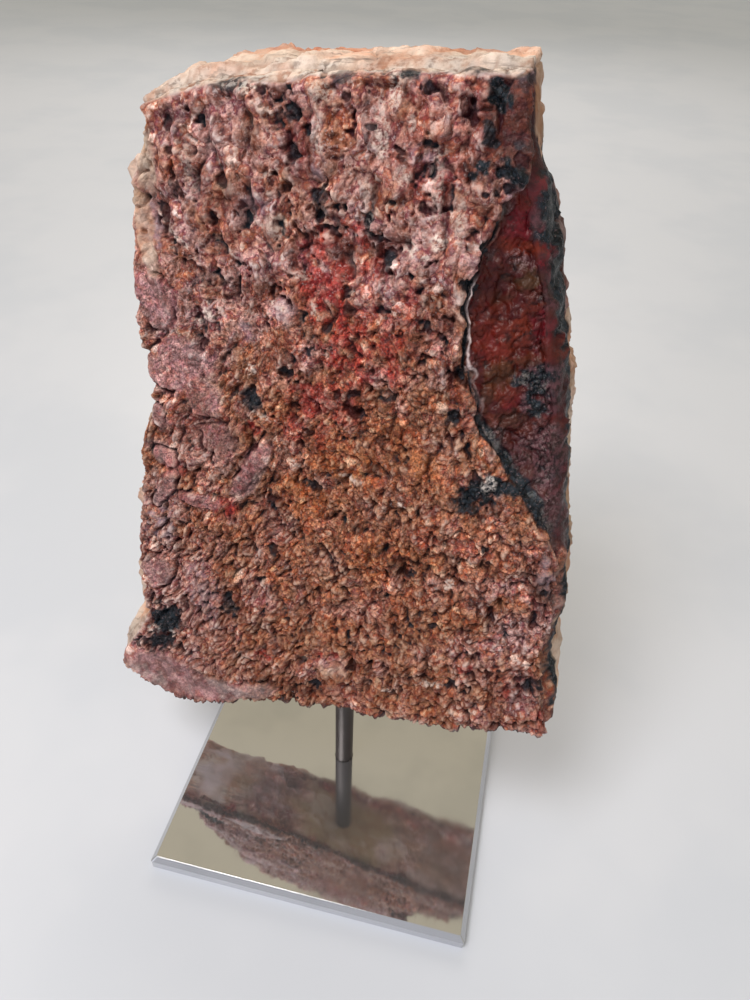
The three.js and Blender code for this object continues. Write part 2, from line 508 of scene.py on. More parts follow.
class Paint(Nodes):
    """A builder for the stone's material, with its place, the mesh's shares and the shared groups at hand."""

    def __init__(self, tree: Tree, effects: Effects, place: Socket) -> None:
        """Reads the shares that the mesh's colour attributes carry.

        Args:
            tree: The material's tree.
            effects: The shared node groups.
            place: The object's own coordinates.
        """
        super().__init__(tree)
        self.effects = effects
        self.place = place
        self.shares: dict[str, Socket] = {}
        for name, columns in SHARES.items():
            read = self.add("ShaderNodeAttribute", attribute_type="GEOMETRY", attribute_name=name)
            split = self.add("ShaderNodeSeparateColor", {0: read.outputs["Color"]})
            self.shares.update(zip(columns, (*split.outputs, read.outputs["Alpha"])))

    def by(self, name: str, start: float, end: float) -> Socket:
        """Goes from one level to another as a share goes from 0 to 1."""
        return self.range(self.shares[name], 0.0, 1.0, start, end)

    def lay(self, name: str, under: object, over: object, level: float | None = None) -> Socket:
        """Lays one colour over another by a share.

        Args:
            name: The share.
            under: The colour under.
            over: The colour over.
            level: What the share is multiplied by, if anything.

        Returns:
            The mixed colour.
        """
        share = self.shares[name]
        return self.mix(share if level is None else self.times(share, level), under, over)

    def specks(
        self, scale: float, detail: float, rough: float, limits: tuple[float, float],
        levels: tuple[float, float] = (0.0, 1.0),
    ) -> Socket:
        """Noise over the stone, mapped to levels.

        Args:
            scale: The noise's scale.
            detail: Its detail.
            rough: Its roughness.
            limits: The noise's values at the two levels.
            levels: The levels.

        Returns:
            The level at each place.
        """
        return self.range(self.noise(self.place, scale, detail, rough), *limits, *levels)

    def mottle(self, under: object, over: object, size: float, cover: float) -> Socket:
        """Clouds one colour over another.

        Args:
            under: The colour under.
            over: The colour over.
            size: A cloud's size, in metres.
            cover: How much the clouds cover.

        Returns:
            The clouded colour.
        """
        inputs = {"Place": self.place, "Size": size, "Under": under, "Over": over, "Cover": cover}
        return self.group(self.effects.mottle, inputs).outputs["Colour"]

    def lay_shade_and_highlights(self, tint: object, hollow: Socket, crest: Socket, hollow_shade: object, pale_and_highlight: object) -> Socket:
        """Paints shade in the hollows and highlights on the tops.

        Args:
            tint: The colour so far.
            hollow: How far in a hollow each place is.
            crest: How far on a top each place is.
            hollow_shade: The painted shade's colour.
            pale_and_highlight: The painted highlights' colour.

        Returns:
            The colour.
        """
        inputs = {"Colour": tint, "Hollow": hollow, "Crest": crest, "Painted shade": hollow_shade, "Painted highlight": pale_and_highlight}
        return self.group(self.effects.relief_shade, inputs).outputs["Colour"]


@dataclass(frozen=True)
class CrustFinish:
    """The stone's colours: the crust, the bare patch and the pale rock behind."""

    warms: tuple[Colour, ...] = colours("4C2013", "86442A", "AA7254", "6A2C1C", "9A5636", "BC9276")
    cools: tuple[Colour, ...] = colours("522A2A", "8A564C", "BA908A", "6A323E", "9C6252", "D8BEB8")
    reds: tuple[Colour, ...] = colours("4C0A0C", "8A1C18", "A2322A", "6E0E18", "98281A", "B05A4C")
    ochres: tuple[Colour, ...] = colours("5A2410", "90461C", "B06838", "743214", "A24E24", "BE8250")
    skin: Colour = colour("A69290")
    plum: Colour = colour("7E4A50")
    # Painted shade colours for the hollows.
    shade_brown: Colour = colour("30140D")
    shade_blue: Colour = colour("141C24")
    shade_plum: Colour = colour("36131A")
    shade_red: Colour = colour("3C0A0A")
    # Painted highlight colours for the lump tops; the first is also the glint specks' colour and the pale
    # line's own colour.
    pale_and_highlight: Colour = colour("DECAC8")
    highlight_red: Colour = colour("AE5E50")
    highlight_ochre: Colour = colour("BE8C5E")
    highlight_warm: Colour = colour("C49E88")
    lilac: Colour = colour("B7A8B6")
    pale: Colour = colour("E6D2C6")
    shadow_brown: Colour = colour("8E422E")
    shadow_maroon: Colour = colour("5C141C")
    mauve: Colour = colour("967476")
    dark_mauve: Colour = colour("7A5050")
    silver: Colour = colour("C2B8B2")
    slate: Colour = colour("4E4644")
    coral: Colour = colour("C08062")
    brick: Colour = colour("9A4838")
    crimson: Colour = colour("640C18")
    soot: Colour = colour("1C0B0C")
    buff: Colour = colour("B98570")
    black: Colour = colour("0D1115")
    blue_black: Colour = colour("222A32")
    oxblood: Colour = colour("401012")
    patch_brown: Colour = colour("4A1A14")
    fire: Colour = colour("6C2412")
    patch_olive: Colour = colour("46301C")
    patch_plum: Colour = colour("5C3C42")
    frost: Colour = colour("A88A8C")
    cream: Colour = colour("D6C0B0")
    peach: Colour = colour("C8967C")
    rust: Colour = colour("8A4F2C")
    ash: Colour = colour("74665E")
    tan: Colour = colour("A08462")
    grit_size: float = 0.0011
    bump: float = 0.0005
    roughness: tuple[float, float] = (0.46, 0.34)
    rock_roughness: float = 0.25
    grain_roughness: float = 0.14
    specular: float = 0.19
    coat: float = 0.08
    coat_roughness: float = 0.2

    def material(self, effects: Effects) -> Material:
        """Builds the stone's material.

        Args:
            effects: The shared node groups.

        Returns:
            The material.
        """
        material, _, shader, place = new_material("Crusted stone")
        paint = Paint(material.node_tree, effects, place)
        grit = paint.group(effects.grit, {"Place": place, "Size": self.grit_size})
        whole = paint.lay("bare", self._crust(paint, grit.outputs["Grain"]), self._bare(paint))
        whole = self._shade_and_highlights(paint, whole)
        whole = paint.lay("rock", whole, self._rock(paint))
        whole = paint.lay("black", whole, self._inky(paint))
        paint.feed(shader.inputs["Base Color"], paint.lay("line", whole, self.pale_and_highlight, 0.85))

        rougher = paint.times(paint.shares["rock"], self.rock_roughness)
        rough = paint.math("ADD", paint.by("bare", *self.roughness), rougher)
        rough = paint.math("MULTIPLY_ADD", grit.outputs["Grain"], self.grain_roughness, rough)
        paint.feed(shader.inputs["Roughness"], rough)
        shader.inputs["Specular IOR Level"].default_value = self.specular
        paint.feed(shader.inputs["Coat Weight"], paint.by("bare", 0.0, self.coat))
        shader.inputs["Coat Roughness"].default_value = self.coat_roughness
        height = paint.times(grit.outputs["Height"], paint.by("bare", 1.0, 0.6))
        bump = paint.add("ShaderNodeBump", {"Height": height, "Strength": 0.9, "Distance": self.bump})
        paint.feed(shader.inputs["Normal"], bump.outputs["Normal"])
        return material

    def _crust(self, paint: Paint, grain: Socket) -> Socket:
        """The lumpy crust's colour: each lump its own hue and tone, warm below and plum above, darkened by
        painted shade and flecked with painted glint specks.

        Args:
            paint: The material's builder.
            grain: The fine grit's grains.

        Returns:
            The colour.
        """
        cloud = paint.noise(paint.place, 150.0, 3.0, 0.55)
        small = paint.times(paint.shares["small_lump"], 0.28)
        tag = paint.math("MULTIPLY_ADD", paint.shares["lump"], 0.55, small)
        hue = paint.math("ADD", tag, paint.math("MULTIPLY_ADD", cloud, 1.7, -0.77))
        crust = paint.lay("plum", paint.ramp(hue, self.warms), paint.ramp(hue, self.cools))
        crust = paint.lay("ochre", crust, paint.ramp(hue, self.ochres), 0.9)
        crust = paint.lay("red", crust, paint.ramp(hue, self.reds))
        warm_skin = paint.mottle(self.skin, self.plum, 0.012, 0.3)
        plum_skin = paint.mottle(self.mauve, self.dark_mauve, 0.007, 0.5)
        smooth = paint.mix(paint.range(paint.shares["plum"], 0.2, 0.6), warm_skin, plum_skin)
        crust = paint.lay("skin", crust, smooth, 0.75)
        # Painted shade: the shade share dims the crust and turns it towards dark maroon-brown.
        gloom = paint.mottle(self.shadow_brown, self.shadow_maroon, 0.009, 0.45)
        crust = paint.lay("shade", crust, gloom, 0.8)
        crust = paint.brighten(crust, self._crust_level(paint, grain))
        # Painted glint specks: pale flecks standing in for sparkle, fewer on smooth skin and in shade.
        glint_specks = paint.specks(620.0, 2.0, 0.6, (0.56, 0.72), (0.0, 0.42))
        calm = paint.math("MAXIMUM", paint.shares["skin"], paint.shares["shade"])
        glint_specks = paint.times(glint_specks, paint.range(calm, 0.0, 1.0, 1.0, 0.15))
        crust = paint.mix(paint.times(glint_specks, paint.by("plum", 0.35, 1.0)), crust, self.pale_and_highlight)
        crust = paint.lay("lilac", crust, paint.mottle(self.lilac, self.plum, 0.003, 0.2))
        broken = paint.times(paint.shares["pale"], paint.specks(520.0, 3.0, 0.6, (0.38, 0.6)))
        return paint.mix(broken, crust, paint.mottle(self.pale, self.buff, 0.003, 0.25))

    @staticmethod
    def _crust_level(paint: Paint, grain: Socket) -> Socket:
        """How bright each spot of the crust is: by lump, by cloud, by painted shade, and by speck and grain.

        Args:
            paint: The material's builder.
            grain: The fine grit's grains.

        Returns:
            The level, about 1.
        """
        bright = paint.times(paint.by("grain", 0.8, 1.2), paint.by("lump", 0.82, 1.22))
        bright = paint.times(bright, paint.by("shade", 1.0, 0.4))
        bright = paint.times(bright, paint.specks(95.0, 2.0, 0.55, (0.35, 0.65), (0.76, 1.2)))
        bright = paint.times(bright, paint.range(paint.shares["plum"], 0.0, 0.8, 0.9, 1.04))
        speck = paint.specks(1150.0, 3.0, 0.7, (0.38, 0.64), (-0.4, 0.5))
        speck = paint.math("ADD", speck, paint.range(grain, 0.1, 0.9, -0.26, 0.26))
        high = paint.add("ShaderNodeSeparateXYZ", {0: paint.place}).outputs[2]
        crown = paint.range(high, 0.32, 0.37, 1.0, 0.4)
        coarse = paint.math("MINIMUM", crown, paint.range(high, 0.13, 0.2, 0.4, 1.0))
        return paint.times(bright, paint.math("MULTIPLY_ADD", speck, coarse, 1.0))

    def _bare(self, paint: Paint) -> Socket:
        """The bare patch's colour: oxblood with orange, olive and plum clouds and frosty grains.

        Args:
            paint: The material's builder.

        Returns:
            The colour.
        """
        bare = paint.mottle(self.oxblood, self.patch_brown, 0.006, 0.45)
        bare = paint.mottle(bare, self.crimson, 0.009, 0.2)
        bare = paint.lay("plum", bare, paint.mottle(self.crimson, self.oxblood, 0.004, 0.35))
        bare = paint.lay("red", bare, paint.mottle(self.fire, self.patch_brown, 0.0045, 0.3))
        bare = paint.lay("ochre", bare, paint.mottle(self.patch_olive, self.patch_brown, 0.006, 0.3))
        bare = paint.lay("plum_rock", bare, paint.mottle(self.patch_plum, self.black, 0.003, 0.5))
        bare = paint.mottle(bare, self.soot, 0.008, 0.25)
        grains = paint.times(paint.shares["pale"], paint.specks(640.0, 3.0, 0.7, (0.42, 0.74), (0.0, 0.7)))
        return paint.mix(grains, bare, self.frost)

    def _shade_and_highlights(self, paint: Paint, whole: Socket) -> Socket:
        """Painted shade in the crust's hollows, brown, plum or blue, and painted highlights on its lumps'
        tops.

        Args:
            paint: The material's builder.
            whole: The colour so far.

        Returns:
            The colour.
        """
        clouds = paint.specks(75.0, 2.0, 0.55, (0.45, 0.6))
        hollow_shade = paint.mix(clouds, paint.lay("plum", self.shade_brown, self.shade_plum), self.shade_blue)
        hollow_shade = paint.lay("red", hollow_shade, self.shade_red, 0.8)
        pale_and_highlight = paint.lay("plum", self.highlight_warm, self.pale_and_highlight)
        pale_and_highlight = paint.lay("ochre", pale_and_highlight, self.highlight_ochre, 0.7)
        pale_and_highlight = paint.lay("red", pale_and_highlight, self.highlight_red, 0.8)
        crest = paint.times(paint.shares["crest"], paint.by("bare", 0.72, 0.03))
        crest = paint.times(crest, paint.by("shade", 1.0, 0.2))
        return paint.lay_shade_and_highlights(whole, paint.shares["hollow"], crest, hollow_shade, pale_and_highlight)

    def _inky(self, paint: Paint) -> Socket:
        """The colour of the black marks and of the painted shadows, with a painted sparkle and a snowy crust
        where they are pale as well.

        Args:
            paint: The material's builder.

        Returns:
            The colour.
        """
        # Painted sparkle: pale glints flecked over the black.
        painted_sparkle = paint.specks(800.0, 3.0, 0.7, (0.56, 0.72), (0.0, 0.4))
        inky = paint.mix(painted_sparkle, paint.mottle(self.black, self.blue_black, 0.002, 0.5), self.frost)
        snow = paint.times(paint.shares["pale"], paint.specks(420.0, 3.0, 0.7, (0.44, 0.56)))
        return paint.mix(paint.times(snow, paint.by("bare", 0.9, 0.3)), inky, self.silver)

    def _rock(self, paint: Paint) -> Socket:
        """The pale broken rock's colour: cream and peach, with ashy streaks and tan below, painted shade in
        rust in its hollows, and painted highlights on its tops.

        Args:
            paint: The material's builder.

        Returns:
            The colour.
        """
        rock = paint.mottle(self.cream, self.peach, 0.026, 0.5)
        rock = paint.lay("lilac", rock, paint.mottle(self.silver, self.slate, 0.0035, 0.45), 0.8)
        rock = paint.lay("pale", rock, paint.mottle(self.coral, self.brick, 0.005, 0.35), 0.75)
        along = paint.stretched(paint.place, (42.0, 300.0, 300.0), (0.3, 0.2, 0.35))
        streaks = paint.range(paint.noise(along, 1.0, 4.0, 0.65), 0.5, 0.66, 0.0, 0.9)
        streaks = paint.times(streaks, paint.specks(28.0, 3.0, 0.6, (0.42, 0.6), (0.25, 1.0)))
        rock = paint.mottle(paint.mix(streaks, rock, self.ash), self.rust, 0.034, 0.12)
        crumbs = paint.specks(420.0, 4.0, 0.65, (0.5, 0.72), (0.0, 0.25))
        rock = paint.mix(crumbs, rock, self.ash)
        rock = paint.lay("tan", rock, paint.mottle(self.tan, self.rust, 0.015, 0.2))
        rock = paint.brighten(rock, paint.by("small_lump", 0.82, 1.12))
        # Painted shade in the hollows, in rust, and painted highlights on the tops, in pale.
        hollow = paint.times(paint.shares["hollow"], 0.6)
        return paint.lay_shade_and_highlights(rock, hollow, paint.times(paint.shares["crest"], 0.3), self.rust, self.pale)


@dataclass(frozen=True)
class SteelFinish:
    """A bare steel: polished or satin."""

    name: str
    tint: Colour
    smear_tint: Colour
    base_roughness: float
    smear: float
    scratch_depth: float
    drawn_lines: float = 0.0
    metallic: float = 1.0

    def material(self, effects: Effects) -> Material:
        """Builds the steel's material.

        Args:
            effects: The shared node groups.

        Returns:
            The material.
        """
        material, nodes, shader, place = new_material(self.name)
        inputs = {"Place": place, "Base": self.base_roughness, "Smear": self.smear}
        worn = nodes.group(effects.handling, inputs)
        share = nodes.times(worn.outputs["Smear"], 0.5)
        nodes.feed(shader.inputs["Base Color"], nodes.mix(share, self.tint, self.smear_tint))
        shader.inputs["Metallic"].default_value = self.metallic
        nodes.feed(shader.inputs["Roughness"], worn.outputs["Roughness"])
        height = worn.outputs["Height"]
        if self.drawn_lines:
            drawn = nodes.noise(nodes.stretched(place, (2600.0, 2600.0, 25.0)), 1.0, 2.0, 0.5)
            height = nodes.math("MULTIPLY_ADD", drawn, self.drawn_lines, height)
        relief = {"Height": height, "Strength": 0.5, "Distance": self.scratch_depth}
        nodes.feed(shader.inputs["Normal"], nodes.add("ShaderNodeBump", relief).outputs["Normal"])
        return material


POLISHED = SteelFinish(
    "Polished steel", tint=colour("C6C6CA"), smear_tint=colour("B2B4B8"), base_roughness=0.035, smear=0.05,
    scratch_depth=0.000004, metallic=0.93,
)
SATIN = SteelFinish(
    "Satin steel", tint=colour("5A5452"), smear_tint=colour("484442"), base_roughness=0.55, smear=0.08,
    scratch_depth=0.00001, drawn_lines=0.6,
)


@dataclass(frozen=True)
class FloorFinish:
    """The plain pale floor."""

    pale: Colour = colour("C8CCD7")
    cool: Colour = colour("C2C7D3")
    cloud_size: float = 0.35
    cover: float = 0.5
    roughness: float = 0.42

    def material(self, effects: Effects) -> Material:
        """Builds the floor's material.

        Args:
            effects: The shared node groups.

        Returns:
            The material.
        """
        material, nodes, shader, place = new_material("Pale floor")
        inputs = {"Place": place, "Size": self.cloud_size, "Cover": self.cover}
        inputs |= {"Under": self.pale, "Over": self.cool}
        nodes.feed(shader.inputs["Base Color"], nodes.group(effects.mottle, inputs).outputs["Colour"])
        shader.inputs["Roughness"].default_value = self.roughness
        return material


# ---- mesh helpers


def deselect_all() -> None:
    """Leaves object mode's selection empty."""
    for thing in bpy.context.selected_objects:
        thing.select_set(False)


def take(piece: Piece) -> Piece:
    """Makes one object the only selected and active one.

    Args:
        piece: The object.

    Returns:
        The same object.
    """
    deselect_all()
    piece.select_set(True)
    bpy.context.view_layer.objects.active = piece
    return piece


class Element(Enum):
    """What edit mode picks; each value is the mesh's own name for it."""

    POINT = "vertices"
    EDGE = "edges"
    FACE = "polygons"


@contextmanager
def editing(piece: Piece, element: Element, chosen: Array | None = None) -> Iterator[None]:
    """Holds a piece in edit mode, with some of its points, edges or faces selected.

    Args:
        piece: The piece.
        element: What is picked.
        chosen: True for each one that is selected, or nothing to leave the selection as it stands.

    Returns:
        A context that ends back in object mode.
    """
    mesh = take(piece).data
    for kind in Element if chosen is not None else ():
        part = getattr(mesh, kind.value)
        part.foreach_set("select", chosen if kind is element else np.zeros(len(part), bool))
    bpy.context.tool_settings.mesh_select_mode = tuple(kind is element for kind in Element)
    bpy.ops.object.mode_set(mode="EDIT")
    yield
    bpy.ops.object.mode_set(mode="OBJECT")


def apply_place(piece: Piece) -> None:
    """Moves a piece's place and turn into its mesh."""
    take(piece)
    bpy.ops.object.transform_apply(location=True, rotation=True, scale=True)


def apply_bevel(piece: Piece, width: float, segments: int, degrees: float) -> None:
    """Bevels a piece's sharper edges with a modifier, and applies it.

    Args:
        piece: The piece.
        width: The bevel's width, in metres.
        segments: How many facets the bevel has.
        degrees: The least angle between two faces whose edge is bevelled.
    """
    softened = piece.modifiers.new("softened", "BEVEL")
    softened.width = width
    softened.segments = segments
    softened.angle_limit = math.radians(degrees)
    take(piece)
    bpy.ops.object.modifier_apply(modifier=softened.name)


def read_rows(rows: bpy.types.bpy_prop_collection, name: str) -> Array:
    """Reads a place or a way of each of a mesh's points, faces or attribute rows.

    Args:
        rows: The points, the faces or the rows.
        name: Which of their properties.

    Returns:
        N by 3 numbers.
    """
    numbers = np.empty(len(rows) * 3)
    rows.foreach_get(name, numbers)
    return numbers.reshape(-1, 3)


def write_places(mesh: Mesh, places: Array) -> None:
    """Writes a mesh's points from N by 3."""
    mesh.vertices.foreach_set("co", places.astype(np.float32).ravel())
    mesh.update()


def write_shares(mesh: Mesh, values: dict[str, Array]) -> None:
    """Stores the shares of each point, up to four to a colour attribute.

    Args:
        mesh: The mesh.
        values: One value for each point, for each of the shares' names.
    """
    for name, columns in SHARES.items():
        layer = mesh.attributes.new(name, "FLOAT_COLOR", "POINT")
        rows = np.ones((len(mesh.vertices), 4), np.float32)
        for number, column in enumerate(columns):
            rows[:, number] = values[column]
        layer.data.foreach_set("color", rows.ravel())


def settle(piece: Piece, material: Material, slot: str, *nodes: str) -> None:
    """Dresses a finished piece and ties it to the frame.

    Args:
        piece: The piece.
        material: Its material.
        slot: The record's material slot; it is not used.
        *nodes: The frame's nodes that it stands for.
    """
    piece.data.materials.clear()
    piece.data.materials.append(material)
    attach(piece, BODY)
    if nodes:
        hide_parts(*nodes)
    piece.data.calc_loop_triangles()
    log.info("%s: %d triangles", piece.name, len(piece.data.loop_triangles))


# ---- stone


@dataclass(frozen=True)
class StoneAxes:
    """Where the stone's own axes stand in the frame."""

    lean: float = 14.5
    roll: float = 12.0
    yaw: float = 5.0
    foot: float = 115.0

    def turn(self) -> Array:
        """The turn from the stone's axes to the frame's, 3 by 3."""
        turned = (
            Matrix.Rotation(-math.radians(self.yaw), 3, "Z")
            @ Matrix.Rotation(-math.radians(self.lean), 3, "X")
            @ Matrix.Rotation(-math.radians(self.roll), 3, "Y")
        )
        return np.array(turned)

    def to_own(self, places: Array) -> Array:
        """Frame metres to the stone's own millimetres."""
        return (places / MM - np.array([0, 0, self.foot])) @ self.turn()

    def to_frame(self, places: Array) -> Array:
        """The stone's own millimetres to frame metres."""
        return (places @ self.turn().T + np.array([0, 0, self.foot])) * MM


@dataclass(frozen=True)
class Spot:
    """An oval place on the stone's front, in its own millimetres."""

    across: float
    height: float
    wide: float
    tall: float
    turn: float = 0.0
    level: float = 1.0

    def share(self, places: Array, ragged: Array | float = 0.0) -> Array:
        """How far inside the oval each point is.

        Args:
            places: Points in the stone's axes.
            ragged: A change to the oval's edge, as a share of its size.

        Returns:
            The spot's level well inside, falling to 0 outside.
        """
        angle = math.radians(self.turn)
        right = places[:, 0] - self.across
        up = places[:, 2] - self.height
        along = (right * math.cos(angle) + up * math.sin(angle)) / self.wide
        over = (up * math.cos(angle) - right * math.sin(angle)) / self.tall
        return self.level * (1 - ease(0.62, 1.15, np.sqrt(along ** 2 + over ** 2) + ragged))


def spots(*rows: tuple[float, ...]) -> tuple[Spot, ...]:
    """Makes a spot of each row of numbers: across, height, wide, tall, turn and level."""
    return tuple(Spot(*row) for row in rows)


def most(row: tuple[Spot, ...], places: Array, ragged: Array | float = 0.0) -> Array:
    """The largest share that any of some spots gives each point.

    Args:
        row: The spots.
        places: Points in the stone's axes.
        ragged: A change to the spots' edges, as a share of their size.

    Returns:
        The shares, 0 to 1.
    """
    shares = np.zeros(len(places))
    for spot in row:
        shares = np.maximum(shares, spot.share(places, ragged))
    return shares


# The places of the crust's features: across, height, half width, half height, turn in degrees, and level.
# Open hollows in the crust; here the level is a depth in millimetres.
HOLLOWS = spots(
    (6, 311, 2.7, 2.6, -6, 4), (18, 302, 4.9, 5.9, -6, 6), (16, 286, 2.3, 5, -5, 5),
    (-19, 278, 2.9, 3.3, -5, 5), (-52, 266, 3.2, 4.3, 24, 5), (-28, 261, 3, 3, -4, 4),
    (-12, 266, 2, 2.1, -4, 3.5), (-41, 292, 3.6, 2.7, -31, 5), (-42, 301, 2, 4, -6, 4),
    (26, 269, 3.2, 3.6, 13, 5.5), (27, 261, 2.8, 4.1, -4, 6), (30, 254, 4.3, 1.3, -42, 5),
    (47, 255, 2.2, 4.4, -4, 6), (54, 248, 8, 1.2, -11, 5), (55, 240, 3.2, 5.4, 11, 6),
    (71, 309, 3.6, 3.1, -7, 5), (78, 303, 2.4, 2.7, -6, 4.5), (43, 305, 2.1, 2.1, -6, 4),
    (53, 292, 2.1, 1.1, -6, 3.5), (36, 282, 2.2, 1.5, -5, 4), (39, 278, 1.3, 1.1, -5, 3.5),
    (65, 282, 2.5, 1.1, -32, 4), (107, 270, 4, 2.2, -23, 6), (98, 263, 1.6, 1.5, -4, 4),
    (112, 274, 2.6, 2.2, 14, 5), (108, 265, 2.4, 1.8, -5, 5), (-2, 190, 3.8, 2.4, 17, 5.5),
    (-22, 178, 6.6, 3.9, -25, 6), (-43, 206, 4.3, 2.1, -11, 4), (-3, 229, 1.5, 2.7, -2, 4),
    (8, 235, 2, 1.8, -3, 4), (23, 211, 2, 2.3, -2, 3.5), (13, 201, 3, 2.9, -1, 5),
    (35, 218, 2.9, 3.1, -2, 3.5), (33, 180, 3.6, 1.9, 19, 5), (24, 180, 2.5, 2, 0, 4.5),
    (31, 172, 5.3, 2.6, -26, 5.5), (70, 210, 3.6, 3.6, -31, 5), (77, 206, 1.8, 2.7, -1, 4),
    (50, 177, 4.9, 1.5, 0, 4), (44, 191, 1.5, 1.9, -1, 4), (81, 168, 3.7, 3.4, 0, 5.5),
    (86, 188, 3.6, 3.2, -31, 6), (91, 226, 2.6, 3.4, 27, 6), (97, 242, 2.1, 2.8, -3, 5),
    (-15, 242, 2.5, 1.8, -3, 4), (-28, 237, 3.3, 2, -31, 4), (3, 174, 2.7, 2.1, 0, 4),
    (-35, 225, 2.7, 2.4, -2, 4), (-31, 199, 2.2, 2, -1, 3.5), (-19, 119, 2.3, 7.1, 3, 4.5),
    (-24, 90, 3, 5.1, 4, 5), (6, 130, 4.8, 2.3, -8, 5), (14, 137, 2.2, 1.7, 2, 4), (-57, 51, 5.3, 6.3, 6, 4),
    (94, 101, 2, 2.8, 4, 5), (95, 91, 3.1, 1.7, 15, 5), (95, 58, 2.6, 2.4, 6, 5), (95, 26, 4.8, 2.6, 8, 5),
    (76, 16, 4.3, 4.2, -17, 5), (15, 20, 4.2, 3.7, 37, 5), (-10, 1, 3.6, 3.2, -43, 5.5),
    (-25, -10, 4.3, 3.3, -16, 4.5), (122, 77, 2.4, 2.3, 5, 4.5), (115, 20, 5.2, 4.6, 8, 4.5),
    (50, 81, 6.4, 2.5, -7, 4), (63, 51, 2.8, 1.9, 6, 4), (92, 133, 8.1, 6.7, 2, 6.5),
    (104, 133, 5.6, 3.6, -9, 5), (-103, 37, 10.1, 13.6, 6, 5), (-109, 23, 11.8, 6.2, 7, 5),
    (45, 202, 1.4, 1.4, -1, 3), (57, 88, 4.6, 2.4, -19, 4), (-16, 20, 3.9, 3.6, 7, 3.5),
)
REDS = spots(
    (36, 244, 27.8, 14.7, -3, 0.75), (27, 228, 19.4, 19.6, 7, 0.9), (39, 200, 24.3, 21, -1, 0.8),
    (16, 176, 22.3, 14.8, -20, 0.8), (-30, 137, 21.2, 4.8, 55), (-67, 122, 8.3, 4.8, -30, 0.9),
    (-23, 163, 6, 3.5, -20, 1.0), (-75, 144, 13.8, 6.1, -43, 0.85), (-24, 162, 5.9, 4, -14),
    (-47, 117, 7.3, 6.1, 3, 0.8), (72, 270, 8.4, 9.1, -5, 0.45), (65, 296, 5, 4.2, -6, 0.45),
    (80, 285, 26, 24, 0, 0.3), (79, 267, 5, 6, -5, 0.7), (64, 222, 6.3, 9.5, -2, 0.6),
    (3, 161, 15.3, 8.9, -20, 0.6), (66, 103, 7.3, 10.2, 4, 0.35), (-39, 21, 5.3, 4.4, 7, 0.8),
    (81, 27, 5, 3.3, 7, 0.75), (102, 15, 3.2, 2.7, 8, 0.7), (3, 26, 8.3, 3.6, -4, 0.8),
    (18, 297, 7.2, 14.9, -6, 0.35), (120, -2, 7.5, 9.5, 9, 0.4),
)
OCHRES = spots(
    (40, 292, 8.3, 11, -6, 0.75), (-46, 242, 5.7, 7.6, -12, 0.8), (76, 221, 7.5, 4.7, -22, 0.9),
    (-24, 76, 14.8, 8.5, 5, 0.9), (41, 90, 32.8, 15.5, 4, 0.75), (-8, 175, 11.3, 8.8, -20, 0.7),
    (38, 146, 46.5, 19.1, 2, 0.7), (-2, 122, 22.7, 15.1, 3, 0.75), (93, 162, 9.2, 6.8, 1, 0.6),
    (86, 93, 25.3, 22.8, 4, 0.5), (26, 214, 14.7, 7.3, -2, 0.45), (-3, 206, 12.4, 6.7, -1, 0.5),
    (111, 101, 14.5, 13.2, 4, 0.6), (46, 54, 56.5, 19.2, 6, 0.35), (-28, 246, 8.3, 5.4, -3, 0.5),
    (-31, 314, 11.6, 5.2, 1, 0.4), (105, 288, 8.5, 6.9, -6, 0.6), (110, 254, 4, 4.5, -4, 0.6),
    (-71, 131, 12.5, 8.5, 2, 0.5), (0, 1, 32.1, 11.8, 8, 0.4),
)
PLUMS = spots(
    (19, 286, 5, 14.6, -5, 0.9), (82, 299, 6.4, 5.2, -6, 0.8), (-59, 226, 10.1, 23.1, -67, 0.5),
    (-54, 154, 25.3, 18.3, -19, 0.6), (-98, 70, 9.5, 17.4, -30, 0.7), (-9, 249, 15, 8.7, -3, 0.4),
    (39, 265, 7.2, 5.6, -4, 0.4), (116, 302, 6.7, 3.3, -7, 0.9), (93, 283, 5.6, 5.7, -5, 0.4),
    (-26, 290, 9.8, 6.4, -5, 0.4), (-30, 137, 20, 5, 55, 0.7), (-85, 60, 26, 50, 0, 0.6),
    (-104, 10, 20, 30, 0, 0.5),
)
# Where painted shade darkens the crust.
SHADES = spots(
    (116, 288, 21, 30, 0, 1.0), (98, 255, 10, 10, 0, 0.2), (18, 288, 9, 20, 0, 0.5),
    (54, 246, 12, 8, 0, 0.5), (-20, 272, 12, 10, 0, 0.35), (-54, 262, 8, 12, 0, 0.4),
    (30, 176, 14, 8, 0, 0.5), (72, 208, 10, 8, 0, 0.5), (-22, 178, 12, 9, 0, 0.4),
    (-58, 168, 10, 20, -35, 0.4), (85, 175, 8, 20, 0, 0.5), (-20, 108, 8, 20, 0, 0.45),
    (-57, 50, 12, 12, 0, 0.4), (124, 80, 10, 20, 0, 0.5), (110, 20, 18, 14, 0, 0.4),
    (0, 200, 12, 14, 0, 0.3), (52, 86, 14, 8, 0, 0.35), (-10, 0, 30, 10, 0, 0.35),
    (-8, 228, 12, 10, 0, 0.35),
)
